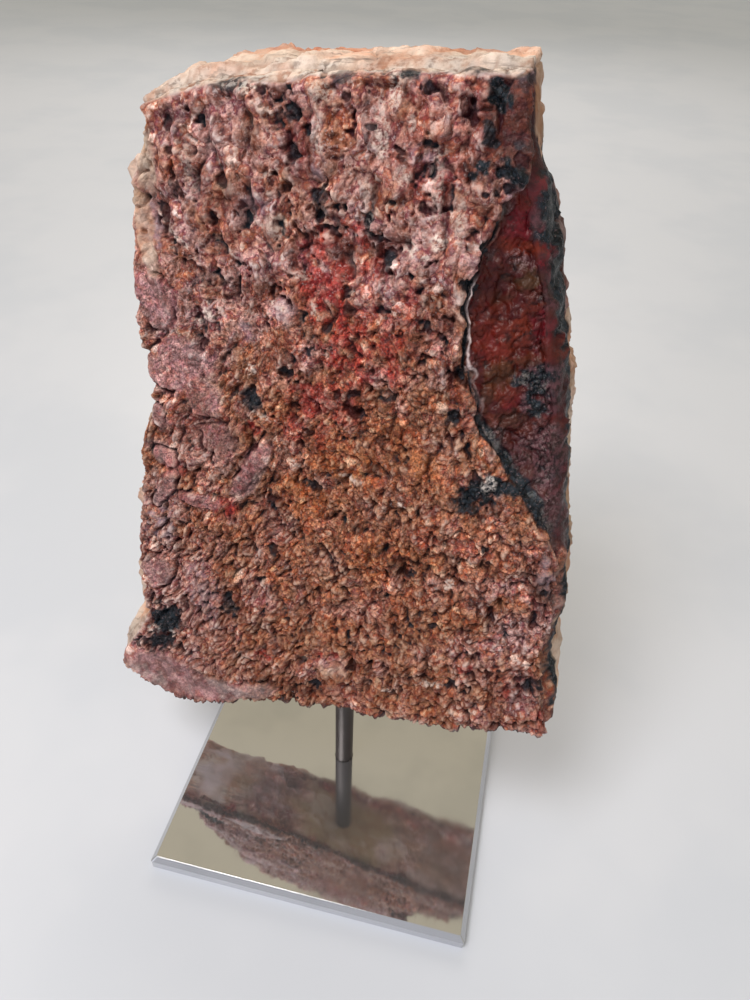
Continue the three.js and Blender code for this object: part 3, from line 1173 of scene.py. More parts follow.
# Smooth-backed plates at the left, and the smooth skin at the foot.
PLATES = spots(
    (-63, 226, 9.3, 17.1, 14), (-54, 196, 18.5, 13.8, -29), (-76, 169, 5.1, 9, 13),
    (-48, 177, 11, 12.1, -42, 0.8), (-77, 147, 11.7, 6.7, -40, 0.9), (-45, 155, 14.1, 9.7, -19, 0.6),
    (-98, 73, 11.7, 10.8, 30, 0.8), (-28, 138, 23, 7, 55), (-67, 190, 13, 12, -30, 0.9),
    (-62, 121, 14, 5, -15, 0.8), (-80, 128, 6, 16, -40, 0.8), (113, 290, 10, 15, 0, 0.7),
)
SKINS = spots(
    (-112, -1, 31.9, 15.1, -15), (-78, -9, 27.9, 9.9, 2), (-50, -7, 15.3, 7, 8, 0.7),
)
LILACS = spots(
    (-90, 106, 9.2, 14.3, 3, 0.8), (3, 220, 7.5, 6.9, -31, 0.5), (75, 281, 6.6, 4.4, -5, 0.5),
    (-73, 62, 9.4, 28, 5, 0.35), (-4, 266, 7.2, 6.3, -31, 0.5), (-60, 261, 4.9, 13, 4, 0.6),
    (123, 85, 6.7, 11.3, 5, 0.45), (26, 277, 2.7, 4.7, -5, 0.5), (-19, 211, 6.6, 5.4, -42, 0.45),
    (44, 310, 5.9, 4.2, -6, 0.6), (109, 262, 2.4, 10, -35, 0.8), (116, 304, 6, 2.5, 0, 0.6),
)
# Pale crystals and streaks, and painted highlights down the crests of the flutes.
PALES = spots(
    (1, 312, 5, 3.7, -6, 0.95), (-8, 315, 6.4, 1.8, -6, 0.6), (33, 307, 5.2, 4.6, -6, 0.6),
    (64, 304, 3.3, 10.4, -6, 0.75), (70, 293, 2.1, 5, -6, 0.6), (30, 292, 2.2, 8.2, -6, 0.6),
    (66, 244, 5.1, 3.8, -36, 0.95), (79, 246, 4.7, 3.6, 11), (-48, 257, 15.1, 1.3, -51, 0.95),
    (5, 279, 6.6, 1.2, 16, 0.5), (-1, 222, 6.7, 1.5, -26, 0.75), (17, 221, 2, 4.5, -2, 0.6),
    (-20, 192, 2.9, 2.8, -42, 0.9), (-37, 219, 2.8, 4.1, 27, 0.85), (-44, 216, 2.7, 2, -2, 0.8),
    (-3, 142, 3.3, 3.9, 2, 0.6), (27, 136, 7.7, 1.7, -17, 0.8), (53, 123, 2, 1.7, -53, 0.85),
    (73, 76, 3.1, 2.5, -18, 0.85), (35, 4, 5.1, 2.2, -23, 0.8), (62, 15, 8.1, 2.1, 8, 0.7),
    (65, 272, 4.3, 3.8, -5, 0.45), (-7, 260, 5.5, 1.8, -31, 0.5), (4, 257, 5.8, 5.9, -4, 0.5),
    (-115, 29, 4.4, 3.9, 6, 0.9), (-100, 29, 2.9, 3, 6, 0.8), (44, 316, 8.4, 1.4, -7, 0.5),
    (72, 240, 2.2, 1.6, -3, 0.8), (-51, 260, 2.7, 2.1, -42, 0.7), (14, 235, 4.9, 2.6, -3, 0.5),
    (-55, 18, 5.5, 3.7, 7, 0.4), (123, 12, 4.2, 5.3, 9, 0.4), (-30, 133, 2.3, 2.3, 2, 0.1),
    (-30, 221, 1.6, 5.5, 27, 0.5), (-15, 168, 8.1, 1.1, -31, 0.7), (-20, 247, 6.3, 1, -42, 0.55),
    (86, 93, 3, 2.3, 4, 0.4), (57, 288, 3, 16, -5, 0.6), (79, 270, 3, 14, -5, 0.6),
    (48, 262, 3, 12, -5, 0.5), (96, 135, 3.6, 5.5, -15, 0.9), (88, 250, 3, 12, -5, 0.45),
    (-34, 285, 3, 12, -5, 0.4),
)
# Black marks, and painted shadows in many of the open hollows and along the top edge.
DARKS_AND_SHADOWS = spots(
    (94, 132, 12.5, 8, 22), (86, 125, 6, 5.5, 0, 0.95), (105, 132, 6.5, 4.1, -20), (-103, 37, 11.5, 13.6, 6),
    (-110, 21, 14.7, 6.2, 7, 0.9), (109, 270, 7.1, 4.3, -14, 0.8), (116, 302, 6.7, 3.9, -7, 0.55),
    (-57, 51, 6, 7, 6, 0.8), (18, 302, 5.4, 5.9, -6, 0.8), (16, 286, 2.3, 4.6, -5, 0.7),
    (71, 309, 4, 3.1, -7, 0.8), (78, 303, 2.8, 3.1, -6, 0.6), (-22, 178, 7.1, 4.5, -25, 0.8),
    (81, 168, 4.2, 3.9, 0, 0.85), (86, 188, 3.6, 3.7, -31, 0.9), (91, 226, 3, 3.8, 27),
    (97, 242, 2.1, 2.8, -3, 0.9), (105, 298, 4, 9, 25), (101, 284, 3.5, 6, 0, 0.9), (109, 270, 9, 6, -20),
    (97, 273, 6, 4, 10), (-37, 322, 5, 2.5, -6, 0.9), (-7, 315, 9, 3, -8, 0.9), (36, 317, 6, 3, -6, 0.8),
    (43, 312, 5, 3, -6, 0.8), (59, 315, 4, 4, 0, 0.9), (94, 309, 9, 3, -6, 0.9), (123, 79, 5.8, 5.7, 5, 0.4),
    (115, 20, 6.3, 5.2, 8, 0.6), (55, 240, 3.2, 5, 11, 0.8), (47, 255, 2.7, 4.8, -4, 0.8),
    (27, 263, 3.2, 7.3, -4, 0.8), (113, 279, 3.9, 3.5, -5, 0.6), (101, 267, 5.6, 3.7, -5, 0.45),
    (112, 183, 6, 4, 10, 0.95), (118, 177, 6, 6, 0, 1.0), (118, 169, 4.5, 8, 0, 1.0),
    (121, 184, 8, 4, 0, 0.8), (131, 182, 4, 14, 0, 0.8), (130, 165, 3.5, 8, 0, 0.8),
)
# The bare patch: orange and olive clouds, frosty grains and plum crystals.
FIRES = spots(
    (113, 259, 2.6, 4, 57, 0.5), (109, 241, 6, 4.4, -27, 0.7), (115, 240, 4.8, 3.5, -3),
    (110, 207, 6.8, 6, -2), (105, 199, 11.3, 17.5, -1, 0.7), (105, 178, 8.9, 11, -31, 0.6),
    (124, 196, 5, 6.1, -1, 0.6), (95, 208, 4.4, 13, -2, 0.5), (103, 216, 8.5, 5, -2, 0.5),
    (116, 215, 5, 4.2, -2, 0.5), (122, 162, 6.2, 4.7, -31, 0.4),
)
OLIVES = spots(
    (113, 226, 7.4, 6.1, -3), (111, 233, 3.3, 2.4, -3, 0.5), (103, 186, 7.9, 7.3, 0, 0.9),
    (103, 220, 5.9, 3.3, -2, 0.4), (96, 176, 3.6, 6.5, 0, 0.6), (114, 190, 6, 4.4, -1, 0.5),
    (105, 164, 9, 6.7, 1, 0.5),
)
FROSTS = spots(
    (113, 266, 2.0, 7, -33), (125, 262, 1.6, 10, -10, 0.9), (107, 256, 1.2, 4.5, -37, 0.8),
    (111, 235, 7.4, 3.9, -32, 0.8), (101, 237, 3.3, 4, -3, 0.6), (120, 198, 5.1, 4.3, -1, 0.5),
    (116, 220, 3.3, 2.1, -2, 0.8), (123, 219, 3.3, 3.3, -2, 0.4), (91, 190, 2.2, 5.4, -1, 0.5),
    (101, 157, 4.7, 6.7, 22, 0.6), (116, 153, 9.9, 9.7, 1, 0.6), (122, 138, 5.4, 10, 2, 0.5),
    (111, 143, 6.4, 5, 2, 0.4), (126, 123, 3.7, 5.2, 3, 0.8), (123, 258, 1.6, 9.4, -18, 0.9),
    (112, 183, 2.6, 3.6, 0, 0.7), (122, 178, 4.3, 4.5, 0, 0.3), (125, 118, 4, 14, 14, 0.8),
)
PATCH_PLUMS = spots(
    (120, 183, 10.3, 7.2), (114, 172, 4, 6.5), (124, 172, 6, 9.2, 0, 0.7), (122, 145, 9.8, 16.7, 2, 0.8),
    (113, 148, 9.1, 9.9, 2, 0.5), (119, 253, 2.8, 9.3, -18, 0.7), (124, 223, 3.6, 16.2, -2, 0.6),
    (126, 119, 6, 14, 10, 0.6),
)
CRIMSONS = spots(
    (119, 258, 7, 16, -12), (112, 247, 6, 8, -30, 0.9), (121, 205, 6, 12, 0, 0.8), (100, 200, 7, 10, 0, 0.7),
    (108, 172, 10, 6, 20, 0.6), (124, 236, 5, 12, 0, 0.9),
)
CHIPS = spots((-60, 300, 9, 24, 4), (-64, 262, 4, 22, 4, 0.8), (-50, 319, 16, 7), (-78, 196, 3, 10, 0, 0.6))


@dataclass(frozen=True)
class BarePatch:
    """The glossy bare patch at the right of the front; its edge has rows of height and across."""

    edge: tuple[tuple[float, float], ...] = (
        (78, 135), (88, 132), (96, 129), (107, 124), (117, 119), (125, 116), (132, 111), (140, 105),
        (147, 102), (155, 98), (161, 94), (169, 92), (176, 92), (185, 90), (192, 87), (201, 88), (212, 89),
        (221, 89), (229, 91), (235, 95), (241, 98), (246, 102), (251, 103), (257, 106), (262, 110),
        (267, 114), (273, 117), (276, 122),
    )

    def inside(self, places: Array) -> Array:
        """Distance inside the patch from the crust's edge.

        Args:
            places: Points in the stone's axes.

        Returns:
            Millimetres, negative on the crust.
        """
        spots = places[:, [0, 2]]
        corners = np.array([(across, height) for height, across in self.edge], float)
        nearest = np.full(len(places), np.inf)
        for start, end in zip(corners[:-1], corners[1:]):
            run = end - start
            share = np.clip((spots - start) @ run / (run @ run), 0, 1)
            nearest = np.minimum(nearest, np.linalg.norm(spots - start - share[:, None] * run, axis=1))
        line = np.interp(places[:, 2], corners[:, 1], corners[:, 0])
        within = (places[:, 0] > line) & (places[:, 2] > corners[0, 1]) & (places[:, 2] < corners[-1, 1])
        return np.where(within, nearest, -nearest)


@dataclass
class Surface:
    """The stone's points with what its relief and its colours are worked out from."""

    places: Array
    normals: Array
    rod_gap: Array

    def facing(self, axis: int, sign: int) -> Array:
        """How squarely each point faces along one of the stone's axes, 0 to 1."""
        return ease(0.3, 0.72, sign * self.normals[:, axis])


@dataclass
class Relief:
    """What the relief gives each point: the move outwards in millimetres, and shares for the colours.

    The three tags of each point are its lump's, its small lump's and its grain's own random numbers.
    """

    height: Array
    # A share of painted shade, 0 to 1.
    hollow: Array
    # A share of painted highlight, 0 to 1.
    crest: Array
    tags: Array


@dataclass(frozen=True)
class LumpLayer:
    """One size of the crust's packed lumps, in millimetres, with its height at the top, middle and foot."""

    size: Triple
    top: float
    middle: float
    foot: float
    tilt: float
    crease: float
    leans: bool


LUMPS = (
    LumpLayer((11.5, 10.0, 17.0), 3.0, 1.9, 1.6, 1.4, 0.5, True),
    LumpLayer((6.2, 6.0, 8.6), 2.0, 2.2, 2.2, 1.4, 0.5, True),
    LumpLayer((3.3, 3.3, 3.9), 0.85, 1.7, 2.1, 1.4, 0.3, True),
    LumpLayer((1.8, 1.8, 1.8), 0.4, 0.7, 0.7, 1.2, 0.1, False),
    LumpLayer((1.1, 1.1, 1.1), 0.15, 0.4, 0.35, 0.8, 0.0, False),
)
# The broken rock's facets: their size along each axis and how far they rise, in millimetres.
ROCK_FACETS = (((34.0, 24.0, 27.0), 4.6), ((13.0, 10.0, 9.0), 2.2), ((4.5, 3.5, 3.5), 0.6))


@dataclass
class FrontMap:
    """A grid over the stone's front that averages heights round each point."""

    pitch: float = 0.7
    passes: int = 3
    reach_of_steps: float = 1.7

    def averaged(self, places: Array, heights: Array, reach: float) -> Array:
        """Averages the heights near each point.

        Args:
            places: Points in the stone's axes.
            heights: Their heights.
            reach: How far round a point the average goes, in millimetres.

        Returns:
            The average near each point.
        """
        flat = places[:, [0, 2]]
        column, row = np.round((flat - flat.min(axis=0)) / self.pitch).astype(int).T + 1
        shape = (column.max() + 2, row.max() + 2)
        spot = column * shape[1] + row
        total = np.bincount(spot, heights, shape[0] * shape[1]).reshape(shape)
        count = np.bincount(spot, minlength=shape[0] * shape[1]).reshape(shape).astype(float)
        steps = max(1, round(reach / self.pitch / self.reach_of_steps))
        for _ in range(self.passes):
            total, count = self._spread(total, steps), self._spread(count, steps)
        return (total / np.maximum(count, 1e-9)).ravel()[spot]

    @staticmethod
    def _spread(grid: Array, steps: int) -> Array:
        """Averages a grid over a square round each of its places.

        Args:
            grid: The grid.
            steps: How many steps the square goes each way.

        Returns:
            The averaged grid.
        """
        for axis in (0, 1):
            pad = [(0, 0), (0, 0)]
            pad[axis] = (steps + 1, steps)
            sums = np.cumsum(np.pad(grid, pad), axis=axis)
            wide = 2 * steps + 1
            high = np.take(sums, range(wide, sums.shape[axis]), axis=axis)
            low = np.take(sums, range(sums.shape[axis] - wide), axis=axis)
            grid = (high - low) / wide
        return grid


@dataclass
class Clues(Surface):
    """What the colours of a set of points are worked out from.

    Front, right, under and top are how squarely a point faces each way, behind is how far it is behind the
    front, and tall is its wandering height. Inside and bare are how far in the bare patch it is. Wander and
    fleck are coarse and fine noise, which ragged and torn make of a spot's edge. Clean and dirty are the
    underside's tan and stained parts, and top_rock is the top's broken rock.
    """

    front: Array
    right: Array
    under: Array
    top: Array
    behind: Array
    tall: Array
    inside: Array
    bare: Array
    wander: Array
    fleck: Array
    ragged: Array
    torn: Array
    clean: Array
    dirty: Array
    top_rock: Array

    def either(self, crust: Array, patch: Array | float = 0.0) -> Array:
        """Takes one value on the crust and another in the bare patch."""
        return crust * (1 - self.bare) + patch * self.bare


@dataclass
class StoneShape:
    """The stone's relief and where its colours go, for any points of it; lengths are in millimetres."""

    axes: StoneAxes = field(default_factory=StoneAxes)
    patch: BarePatch = field(default_factory=BarePatch)
    face_ahead: float = 27.0
    rod_clear: float = 9.0
    rod_far: float = 24.0
    rod_length: float = 32.0
    crack_depth: float = 2.6
    lip_rise: float = 1.5
    hollow_scale: float = 0.36
    reaches: tuple[float, float] = (1.4, 5.0)
    slant: float = 38.0
    plate_edge_depth: float = 2.4
    patch_sunk: float = 1.8
    knob_rise: float = 2.4

    def surface(self, mesh: Mesh) -> Surface:
        """Reads a mesh's points and their stored normals into the stone's own axes.

        Args:
            mesh: The mesh.

        Returns:
            The surface.
        """
        places = read_rows(mesh.vertices, "co")
        normals = read_rows(mesh.attributes[REST].data, "vector")
        normals /= np.linalg.norm(normals, axis=1, keepdims=True)
        gap = np.hypot(places[:, 0], places[:, 1]) / MM
        gap += np.maximum(0, places[:, 2] / MM - self.axes.foot - self.rod_length)
        return Surface(self.axes.to_own(places), normals @ self.axes.turn(), gap)

    def inside_patch(self, p: Array) -> Array:
        """Distance inside the bare patch from the crust's ragged edge, in millimetres."""
        return self.patch.inside(p + rolling(p, 7.0, 31) * 1.6 + rolling(p, 3.0, 32) * 0.6)

    # Crust

    def crust(self, s: Surface) -> Relief:
        """The front: packed lumps, open hollows, the crack and the bare patch.

        Args:
            s: The surface.

        Returns:
            The relief.
        """
        p = s.places
        inside = self.inside_patch(p)
        bare = ease(-0.3, 1.2, inside)
        lumps, tags, gap = self._lumps(p)
        depth = self._depth(p)
        crack = self._crack(p, inside)
        lip = ease(-9, -3.0, inside) * (1 - ease(-3.0, -1.0, inside)) * ease(70, 88, p[:, 2])
        height = (1 - bare) * (lumps - depth + lip * self.lip_rise) + bare * self._patch_height(p)
        height -= crack * self.crack_depth
        # hollow is painted shade: darker where the surface sits below its neighbours, in the gaps, the open
        # hollows and the crack; crest is painted highlight on what stands above.
        near, far = (FrontMap().averaged(p, height, reach) - height for reach in self.reaches)
        hollow = ease(0.15, 1.0, near) * 0.25 + ease(0.3, 2.4, far) * 0.62 + gap * 0.45
        hollow = np.maximum(hollow * (1 - 0.5 * bare), np.maximum(ease(0.3, 1.5, depth), crack)) * 0.93
        crest = ease(0.05, 0.7, -near) * 0.5 + ease(0.4, 2.2, -far) * 0.6
        glint = ripples(p * np.array([1, 1, 0.5]), (7.0, 45, 1.0)) + ripples(p, (2.6, 46, 1.0))
        crest *= (0.25 + 0.75 * ease(-0.1, 0.6, glint)) * (1 - hollow.clip(0, 1))
        return Relief(height, np.clip(hollow, 0, 1), crest, tags)

    @staticmethod
    def _crack(p: Array, inside: Array) -> Array:
        """The black groove along the crust's broken edge, wider towards the patch's foot.

        Args:
            p: Points in the stone's axes.
            inside: How far each is inside the bare patch.

        Returns:
            How far in the groove each point is, 0 to 1.
        """
        low = ease(172, 158, p[:, 2])
        wide = (1.3 + 2.0 * low) * (1 + ripples(p, (5.0, 47, 0.45)))
        groove = 1 - ease(0.5, 1.0, np.abs(inside - low * 1.2) / wide)
        return groove * ease(72, 86, p[:, 2]) * ease(268, 250, p[:, 2])

    def _lumps(self, p: Array) -> tuple[Array, Array, Array]:
        """The crust's packed lumps, with the gaps between them.

        Args:
            p: Points in the stone's axes.

        Returns:
            Height in millimetres, three tags for each point, and how far in a gap it is.
        """
        top, foot = ease(185, 245, p[:, 2]), ease(150, 90, p[:, 2])
        warped = p + rolling(p, 9.0, 11) * 2.2 + rolling(p, 3.4, 12) * (0.35 + 0.35 * top[:, None])
        slanted = ease(15, -25, p[:, 0]) * (1 - top)
        turned = warped @ np.array(Matrix.Rotation(math.radians(self.slant), 3, "Y"))
        height = np.zeros(len(p))
        tags, creases = [], []
        for number, layer in enumerate(LUMPS):
            level = layer.top * top + layer.foot * foot + layer.middle * (1 - top - foot)
            lump, crease, tag = domes(warped, layer.size, number + 1, layer.tilt)
            if layer.leans:
                long = (layer.size[0] * 0.8, layer.size[1], layer.size[2] * 1.3)
                leaning, leaning_crease, leaning_tag = domes(turned, long, number + 21, layer.tilt)
                lump = lump * (1 - slanted) + leaning * slanted
                crease = crease * (1 - slanted) + leaning_crease * slanted
                tag = np.where(slanted > 0.5, leaning_tag, tag)
            height += (lump - 0.6 - crease * 0.3 * layer.crease) * level
            tags.append(tag)
            creases.append(crease)
        tall = warped * np.array([1, 1, 0.42])
        height += ripples(tall, (7.5, 14, 1.0)) * (3.2 * top + 0.9 * (1 - top))
        height += ripples(tall, (3.6, 22, 1.0)) * (0.9 * top + 0.7 * (1 - top))
        height += ripples(p, (26.0, 15, 1.0), (12.0, 16, 0.9))
        height += ripples(p, (2.0, 13, 0.4), (1.1, 17, 0.25)) * (1 - 0.5 * top)
        stretched = p * np.array([1, 1, 0.75])
        gaps = ripples(stretched, (8.5, 51, 1.0), (3.8, 52, 0.75))
        gap = ease(-0.45, -0.85, gaps + ripples(p, (1.8, 53, 0.4)))
        height, gap = self._smoothed(p, warped, height, gap, top, creases)
        return height, np.stack(tags[1:4], axis=1), gap

    def _smoothed(
        self, p: Array, warped: Array, height: Array, gap: Array, top: Array, creases: list[Array]
    ) -> tuple[Array, Array]:
        """Lays the smooth-backed plates and skins over the lumps, and opens the gaps elsewhere.

        Args:
            p: Points in the stone's axes.
            warped: The same points, pulled about.
            height: The lumps' height.
            gap: How far in a gap each point is.
            top: How near the crust's top each point is.
            creases: The creases of each layer of lumps.

        Returns:
            The new height, and how far in a gap or crease each point is.
        """
        frayed = ripples(p, (13.0, 40, 0.35), (4.5, 42, 0.25))
        plate = most(PLATES, p, frayed)
        skin = most(SKINS, p, ripples(p, (6.0, 42, 0.1)))
        rough = 1 - np.maximum(plate, skin)
        edge = ease(0.03, 0.3, plate) * (1 - ease(0.45, 0.85, plate))
        edge *= ease(-0.35, 0.25, ripples(p, (10.0, 48, 1.0)))
        pebbles, _, _ = domes(warped, (2.4, 2.4, 2.4), 7, 0.3)
        fine = (pebbles - 0.6) * 0.8 + ripples(p, (1.3, 18, 0.3))
        flat = 0.4 + plate * 1.2 + fine + ripples(p, (8.0, 19, 1.3))
        even = 0.3 + rolling(p, 16.0, 20)[:, 1] * 1.2 + fine * 0.6 + rolling(p, 6.0, 18)[:, 1] * 0.8
        gap = gap * rough
        height = height - gap * (2.4 * top + 1.6 * (1 - top))
        height = height * (1 - plate) + flat * plate - edge * self.plate_edge_depth
        height = height * (1 - skin) + even * skin
        patchy = ease(-0.3, 0.3, ripples(p, (5.0, 54, 1.0))) * rough
        between = np.maximum(creases[1] * 0.4, creases[2] * 0.2) * patchy
        return height, np.maximum.reduce([gap * 0.75, edge * 0.8, between * rough])

    def _depth(self, p: Array) -> Array:
        """How deep the crust's open hollows are.

        Args:
            p: Points in the stone's axes.

        Returns:
            The depths in millimetres.
        """
        ragged = ripples(p @ SKEW, (5.0, 41, 0.8), (2.2, 43, 0.6), (1.1, 44, 0.2))
        return most(HOLLOWS, p, ragged) * self.hollow_scale

    def _patch_height(self, p: Array) -> Array:
        """The bare patch's lumpy, fine-grained surface, a little below the crust's.

        Args:
            p: Points in the stone's axes.

        Returns:
            The heights in millimetres.
        """
        swell = ripples(p, (17.0, 61, 1.4), (6.0, 62, 1.0))
        knobs, _, _ = domes(p + rolling(p, 4.0, 63) * 1.6, (5.5, 5.5, 6.5), 64, 0.6)
        grains, _, _ = domes(p, (2.0, 2.0, 2.0), 65, 0.9)
        rough = np.maximum(most(FROSTS, p) * 0.6, most(PATCH_PLUMS, p))
        grain = (grains - 0.6) * (0.75 + 1.2 * rough) + ripples(p, (1.0, 66, 0.25))
        return swell - self.patch_sunk + (knobs - 0.6) * self.knob_rise + grain

    # Rock

    def rock(self, s: Surface) -> Relief:
        """The broken rock of the sides, the back, the top and the underside.

        Args:
            s: The surface.

        Returns:
            The relief.
        """
        p = s.places
        warped = p + rolling(p, 22.0, 71) * 6 + rolling(p, 6.0, 72) * 1.6
        height = np.zeros(len(p))
        tags, margins = [], []
        for number, (size, rise) in enumerate(ROCK_FACETS):
            packing = pack_cells(warped, size, 73 + number)
            facet = ((packing.tag - 0.5) * packing.away).sum(axis=1) * 2.2 + 0.4 - packing.nearest * 0.5
            height += facet * rise
            tags.append(packing.tag[:, 0])
            margins.append(packing.margin)
        layers = np.abs(((warped[:, 2] * 0.12 + warped[:, 1] * 0.22) % 1.0) - 0.5) * 2
        height += layers - 0.5 + ripples(p, (3.0, 76, 0.5), (1.5, 77, 0.3))
        right = s.facing(0, 1)
        calmer = 0.45 * s.facing(2, -1) + 0.35 * s.facing(2, 1)
        height *= 1 - (calmer + right * (0.4 + 0.3 * ease(262, 275, p[:, 2])))
        height += right * (2.0 * ease(225, 240, p[:, 2]) - 4.5 * ease(264, 278, p[:, 2]))
        # hollow is painted shade in the facets' creases and low places; the crest below is painted highlight
        # on the high ones.
        hollow = np.maximum((1 - ease(0.0, 0.16, margins[1])) * 0.5, ease(-0.4, -2.2, height) * 0.7)
        return Relief(height, hollow, ease(0.6, 2.6, height), np.stack(tags, axis=1))

    def move(self, s: Surface, relief: Relief, sway: float) -> Array:
        """Moves a surface's points.

        Args:
            s: The surface.
            relief: Its relief.
            sway: How far points also wander sideways, in millimetres.

        Returns:
            The moved points, in frame metres.
        """
        calm = ease(self.rod_clear, self.rod_far, s.rod_gap)[:, None]
        wander = rolling(s.places, 5.5, 91) * sway + rolling(s.places, 2.4, 92) * sway * 0.4
        return self.axes.to_frame(s.places + (s.normals * relief.height[:, None] + wander) * calm)

    # Colours

    def store(self, mesh: Mesh, s: Surface, relief: Relief) -> None:
        """Stores the shares that the stone's material reads.

        Args:
            mesh: The mesh that carries the points.
            s: The points, unmoved.
            relief: Their relief.
        """
        c = self._clues(s)
        values = {"hollow": relief.hollow, "crest": relief.crest, **dict(zip(SHARES["lumps"], relief.tags.T))}
        write_shares(mesh, {**values, **self._tints(c), **self._marks(c), **self._zones(c)})

    def _clues(self, s: Surface) -> Clues:
        """Works out what the colours go by.

        Args:
            s: The points, unmoved.

        Returns:
            The clues.
        """
        p = s.places
        front, right, under, top = (s.facing(*way) for way in ((1, -1), (0, 1), (2, -1), (2, 1)))
        wander = rolling(p, 11.0, 81)
        fleck = rolling(p @ SKEW, 3.5, 82)
        ragged = (wander[:, 0] + fleck[:, 0]) * 0.22
        behind = p[:, 1] + self.face_ahead
        inside = self.inside_patch(p)
        round_edge = ease(0.05, 0.3, s.normals[:, 0]) * ease(33, 27, behind + wander[:, 1] * 6)
        bare = ease(0.0, 1.5, inside) * np.clip(front + round_edge, 0, 1)
        off_rod = ease(26, 52, s.rod_gap + wander[:, 2] * 10)
        clean = under * np.clip(1 - off_rod + 0.35 * ease(0, 60, p[:, 0]), 0, 1)
        clean *= 1 - under * ease(40, 50, behind + wander[:, 1] * 5)
        return Clues(
            p, s.normals, s.rod_gap, front, right, under, top, behind, inside=inside, bare=bare,
            wander=wander, fleck=fleck, ragged=ragged, torn=ragged * 2.0 + ripples(p, (1.8, 83, 0.3)),
            tall=p[:, 2] + wander[:, 0] * 9 + fleck[:, 1] * 5, clean=clean, dirty=under * (1 - clean),
            top_rock=top * ease(1.0, 3.0, behind + fleck[:, 0]),
        )

    @staticmethod
    def _tints(c: Clues) -> dict[str, Array]:
        """Where the stone is red, ochre, plum and tan.

        Args:
            c: The points' clues.

        Returns:
            The shares by name; in the bare patch red is fiery, ochre is olive and plum is crimson.
        """
        p = c.places
        red = most(REDS, p, c.ragged) * ease(-0.6, 0.3, c.fleck[:, 1])
        ochre = most(OCHRES, p, c.ragged) * ease(-0.6, 0.4, c.fleck[:, 2])
        edges = np.maximum(ease(-45, -85, p[:, 0]), ease(70, 105, p[:, 0]) * 0.8) * ease(150, 120, p[:, 2])
        plum = 0.1 + 0.55 * ease(150, 245, p[:, 2]) + 0.4 * edges + c.wander[:, 1] * 0.6
        plum = np.clip(plum + most(PLATES, p) * 0.5 + c.fleck[:, 2] * 0.3, 0, 1)
        plum = np.maximum(plum, most(PLUMS, p, c.ragged))
        plum = c.either(plum, most(CRIMSONS, p, c.torn))
        red = c.either(red, 0.85 * most(FIRES, p, c.torn))
        ochre = c.either(ochre, 0.7 * most(OLIVES, p, c.torn))
        plum = np.maximum(plum, c.dirty * ease(-0.4, 0.4, c.wander[:, 1]))
        red = np.maximum(red, c.dirty * ease(0.1, 0.5, c.wander[:, 0]) * 0.7)
        tan = np.maximum(c.clean, ease(-0.2, 0.7, c.wander[:, 1]) * 0.5 * (1 - c.top))
        return {"red": red, "ochre": ochre, "plum": plum, "tan": tan}

    def _marks(self, c: Clues) -> dict[str, Array]:
        """Where the stone is black, which also carries painted shadows, pale and lilac, and where the pale
        line runs.

        Args:
            c: The points' clues.

        Returns:
            The shares by name; on the top's rock pale is peachy and lilac is ashen.
        """
        p = c.places
        # Painted shadow along the underside's front edge.
        foot_shadow = c.under * ease(8, 2, c.behind + c.wander[:, 0] * 3) * 0.75
        frayed = c.ragged * 1.5 + ripples(p, (2.2, 84, 0.45), (1.1, 85, 0.2))
        # Black marks and painted shadows on the front, and the black crack.
        front_darks_and_shadows = np.maximum(most(DARKS_AND_SHADOWS, p, frayed), self._crack(p, c.inside)) * c.front
        line = 1 - ease(0.1, 0.6, np.abs(c.inside - 1.5 + c.fleck[:, 1] * 0.5))
        line *= (0.15 + 0.85 * ease(183, 192, p[:, 2])) * ease(150, 165, p[:, 2])
        line *= (1 - ease(225, 232, p[:, 2])) * c.front
        end = c.under * ease(-78, -96, p[:, 0] + c.wander[:, 0] * 12)
        end *= ease(2, 14, c.behind) * ease(-0.5, 0.3, c.wander[:, 2])
        pale = c.either(most(PALES, p, c.ragged * 0.9), most(FROSTS, p, c.torn))
        lilac = c.either(0.6 * most(LILACS, p, c.ragged) * ease(-0.5, 0.5, c.fleck[:, 1]))
        ashen = c.top_rock * ease(24, 8, c.behind + c.wander[:, 1] * 8)
        ashen *= 0.45 + 0.55 * ease(-0.3, 0.3, c.fleck[:, 1])
        peachy = c.top_rock * ease(30, 46, c.behind + c.wander[:, 0] * 8)
        return {
            "black": np.clip(np.maximum.reduce([self._rim(c), foot_shadow, front_darks_and_shadows]), 0, 1),
            "pale": np.maximum(pale * c.front, peachy), "lilac": np.maximum(lilac, ashen),
            "line": np.maximum(line, end * 0.9),
        }

    @staticmethod
    def _rim(c: Clues) -> Array:
        """The ragged black band down the right side, between the crust and the pale rock.

        Args:
            c: The points' clues.

        Returns:
            How far in the band each point is, 0 to 1.
        """
        p = c.places
        start = 23 - 10 * ease(236, 244, p[:, 2]) * ease(276, 268, p[:, 2]) - 11 * ease(92, 80, c.tall)
        start -= 4 * ease(196, 206, c.tall) * ease(240, 232, p[:, 2])
        past = c.behind - start
        rim = c.right * ease(-0.8, 0.8, past + c.fleck[:, 0] * 4 + ripples(p, (1.6, 86, 2.0)))
        rim *= ease(-30, 0, p[:, 2]) * ease(284, 272, c.tall)
        return rim * ease(11, 6, past + c.wander[:, 1] * 7 + c.fleck[:, 2] * 3 - 10 * ease(180, 205, c.tall))

